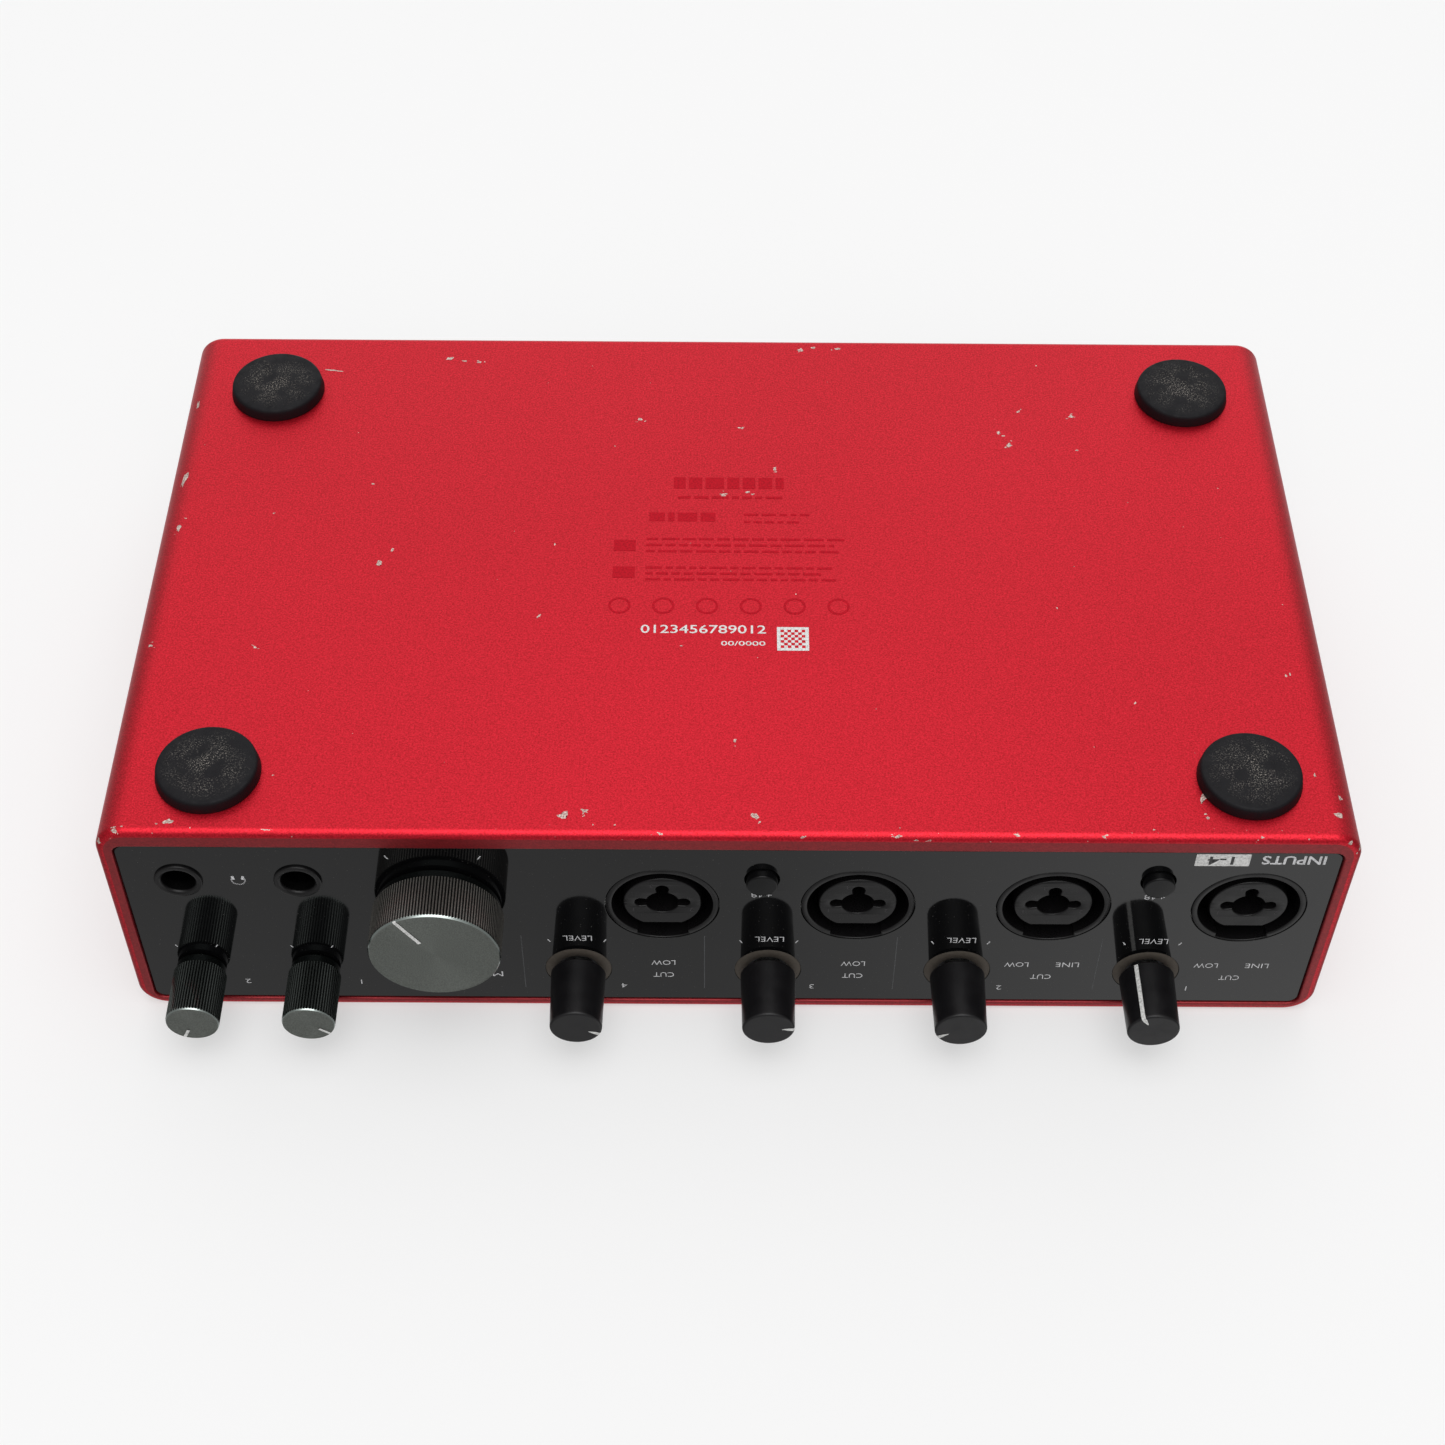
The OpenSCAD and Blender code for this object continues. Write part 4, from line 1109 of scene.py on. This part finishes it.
def build_rear_print():
    """Plain functional lettering on the rear panel."""
    words = []
    jacks_low, jacks_high = low("line_jack_nuts"), high("line_jack_nuts")
    nut_r = 6.6
    columns = 4
    step = (jacks_high.x - jacks_low.x - 2 * nut_r) / (columns - 1)
    for k in range(columns):
        x = jacks_high.x - nut_r - k * step
        for text, z in ((str(k + 1), 33.9), (str(k + 1 + columns), 11.2)):
            words.append(on_rear(text_mesh(text, 1.8, 1.1), x, z))
    for text, z in (("LINE OUTPUTS", 52.0), ("LINE INPUTS", 29.5)):
        words.append(on_rear(text_mesh(text, 1.8, 1.15), (jacks_low.x + jacks_high.x) / 2, z))
    for node, text, z in (("midi_sockets", "OUT      IN", 45.5), ("coax_sockets", "COAX", 52.0),
                          ("optical_socket", "OPTICAL", 45.5), ("dc_inlet", "12V DC", 45.5),
                          ("power_switch_frame", "POWER", 45.5), ("usb_socket", "USB", 20.0)):
        words.append(on_rear(text_mesh(text, 1.7, 1.1), middle(node).x, z))
    printed("rear_print", words, WHITE)


# ---------------- stage

FLOOR_REACH = 6.0
FLOOR_FADE = (0.45, 1.3)  # metres from the unit between which the floor thins out
LIGHT_TARGET = Vector((0, 0, 0.03))
LIGHT_SIZE = 1.4
WORLD_GLOW = 0.85
WORLD_SEEN = 0.9  # what the camera sees of the world

# where the world's glow changes: a direction, the cosines of the angle from it where the
# change starts and is whole, and how much it adds
LOBES = [
    ((1, 0, 0), 0.3, 0.9, -0.6), ((-1, 0, 0), 0.3, 0.9, -0.6),
    ((0, -0.3, 0.95), 0.5, 0.88, -0.42), ((-0.5, -0.6, 0.62), 0.84, 0.98, 0.44),
    ((0, -0.56, -0.83), 0.84, 0.98, 1.25), ((0, -1, 0.05), 0.76, 0.98, -0.5),
    ((0, 0.85, -0.5), 0.7, 0.98, 0.15),
]


def floor_material(name, shade, glow):
    """Pale paper that thins out far away; glow lightens its shadows, as a room's light does."""
    f = Finish(name, (shade, shade, shade), 0.9, Emission_Color=linear(255, 255, 255),
               Emission_Strength=glow, Specular_IOR_Level=0.0)
    f.tint(f.noise(180, detail=3), [shade * 0.991] * 3, [shade] * 3)
    back = f.node("ShaderNodeNewGeometry").outputs["Backfacing"]
    far_off = f.spread(f.distance_from([(0, 0, 0)]), *FLOOR_FADE)
    through = f.node("ShaderNodeBsdfTransparent").outputs[0]
    mix = f.node("ShaderNodeMixShader", {0: f.calc("MAXIMUM", back, far_off),
                                         1: f.shader.outputs[0], 2: through})
    f.join(mix.outputs[0], f.tree.nodes["Material Output"].inputs["Surface"])
    return f.material


def build_floor(name, z, facing, material):
    """A large floor seen only by the camera and only from the side it faces."""
    build = bmesh.new()
    verts = [build.verts.new((x * FLOOR_REACH, y * FLOOR_REACH, z))
             for x, y in ((-1, -1), (1, -1), (1, 1), (-1, 1))]
    build.faces.new(verts if facing > 0 else verts[::-1])
    mesh = bpy.data.meshes.new(name)
    build.to_mesh(mesh)
    build.free()
    mesh.materials.append(material)
    floor = added(name, mesh)
    for ray in ("diffuse", "glossy", "transmission", "volume_scatter", "shadow"):
        setattr(floor, "visible_" + ray, False)


def area_light(name, place, watts, glints=True):
    """A wide soft light aimed at the unit; without glints it shows in no reflection."""
    light = bpy.data.lights.new(name, "AREA")
    light.shape = "DISK"
    light.size = LIGHT_SIZE
    light.energy = watts
    holder = added(name, light)
    holder.location = place
    holder.rotation_mode = "QUATERNION"
    holder.rotation_quaternion = (LIGHT_TARGET - Vector(place)).to_track_quat("-Z", "Y")
    holder.visible_glossy = glints


def build_world():
    """White all round, dimmer at both sides, with a soft box in front of the underside."""
    world = bpy.data.worlds.new("soft_studio")
    bpy.context.scene.world = world
    world.use_nodes = True
    g = Graph(world.node_tree)
    background = g.tree.nodes["Background"]
    background.inputs["Color"].default_value = (1.0, 1.0, 1.0, 1.0)
    direction = g.node("ShaderNodeTexCoord").outputs["Generated"]
    total = WORLD_GLOW
    for axis, start, end, change in LOBES:
        dot = g.node("ShaderNodeVectorMath", {0: direction, 1: Vector(axis).normalized()},
                     operation="DOT_PRODUCT")
        total = g.calc("ADD", g.spread(dot.outputs["Value"], start, end, 0.0, change,
                                       interpolation_type="SMOOTHSTEP"), total)
    seen = g.node("ShaderNodeLightPath").outputs["Is Camera Ray"]
    g.join(g.blend(seen, total, WORLD_SEEN, "FLOAT"), background.inputs["Strength"])


CAMERA_PLACE = Vector((2.68, RIM_Y - 279.33, -355.54))
CAMERA_ANGLES = (0.25, 49.36, -0.533)  # azimuth, elevation and roll in degrees
SENSOR_WIDTH, LENS = 36.0, 59.81


def build_camera():
    """The photograph's view: the unit lies upside down and is seen from in front and above."""
    azimuth, elevation, roll = (radians(v) for v in CAMERA_ANGLES)
    forward = Vector((-sin(azimuth) * cos(elevation),
                      cos(azimuth) * cos(elevation), sin(elevation)))
    right = Vector((-cos(azimuth), -sin(azimuth), 0.0))
    up = right.cross(forward)
    turned_right = right * cos(roll) - up * sin(roll)
    turned_up = right * sin(roll) + up * cos(roll)
    camera = bpy.data.cameras.new("camera")
    camera.sensor_width = SENSOR_WIDTH
    camera.lens = LENS
    camera.clip_start, camera.clip_end = 0.01, 50.0
    holder = added("camera", camera)
    axes = Matrix((turned_right, turned_up, -forward)).transposed().to_4x4()
    holder.matrix_world = Matrix.Translation(CAMERA_PLACE * MM) @ axes
    bpy.context.scene.camera = holder


def build_stage():
    build_floor("table_under_feet", 0.0, 1, floor_material("paper_below", 228.54, 0.3))
    build_floor("table_under_top", CASE_HIGH.z * MM, -1, floor_material("paper_above", 175.24, 0.48))
    area_light("overhead_soft", (-0.2, -0.2, 1.6), 11, glints=False)
    area_light("underneath_soft", (-0.1, -0.2, -1.6), 8)
    build_world()
    build_camera()


# ---------------- everything

build_stage()
build_case()
build_chips()
build_under_print()
build_feet()
build_front_panel()
build_front_print()
for k in range(1, 5):
    build_combo(k)
    build_halo(k)
    build_gain_knob(k)
for k in (1, 2):
    build_headphone_jack(k)
    build_button(k)
    turned_knob(f"headphone_cap_{k}", PHONES[k - 1], f"headphone_dial_{k}", f"headphone_knob_{k}",
                5.32, 4.92, 2.1, 56, 0.2, (2.5, 0.6), FINE_KNURL)
turned_knob("monitor_cap", MONITOR, "monitor_dial", "monitor_knob", 12.9, 12.2, 2.3, 132, 0.3,
            (4.6, 0.75), WIDE_KNURL)
dress_cad_nodes()
build_rear_print()

bpy.context.scene.view_settings.view_transform = "Standard"
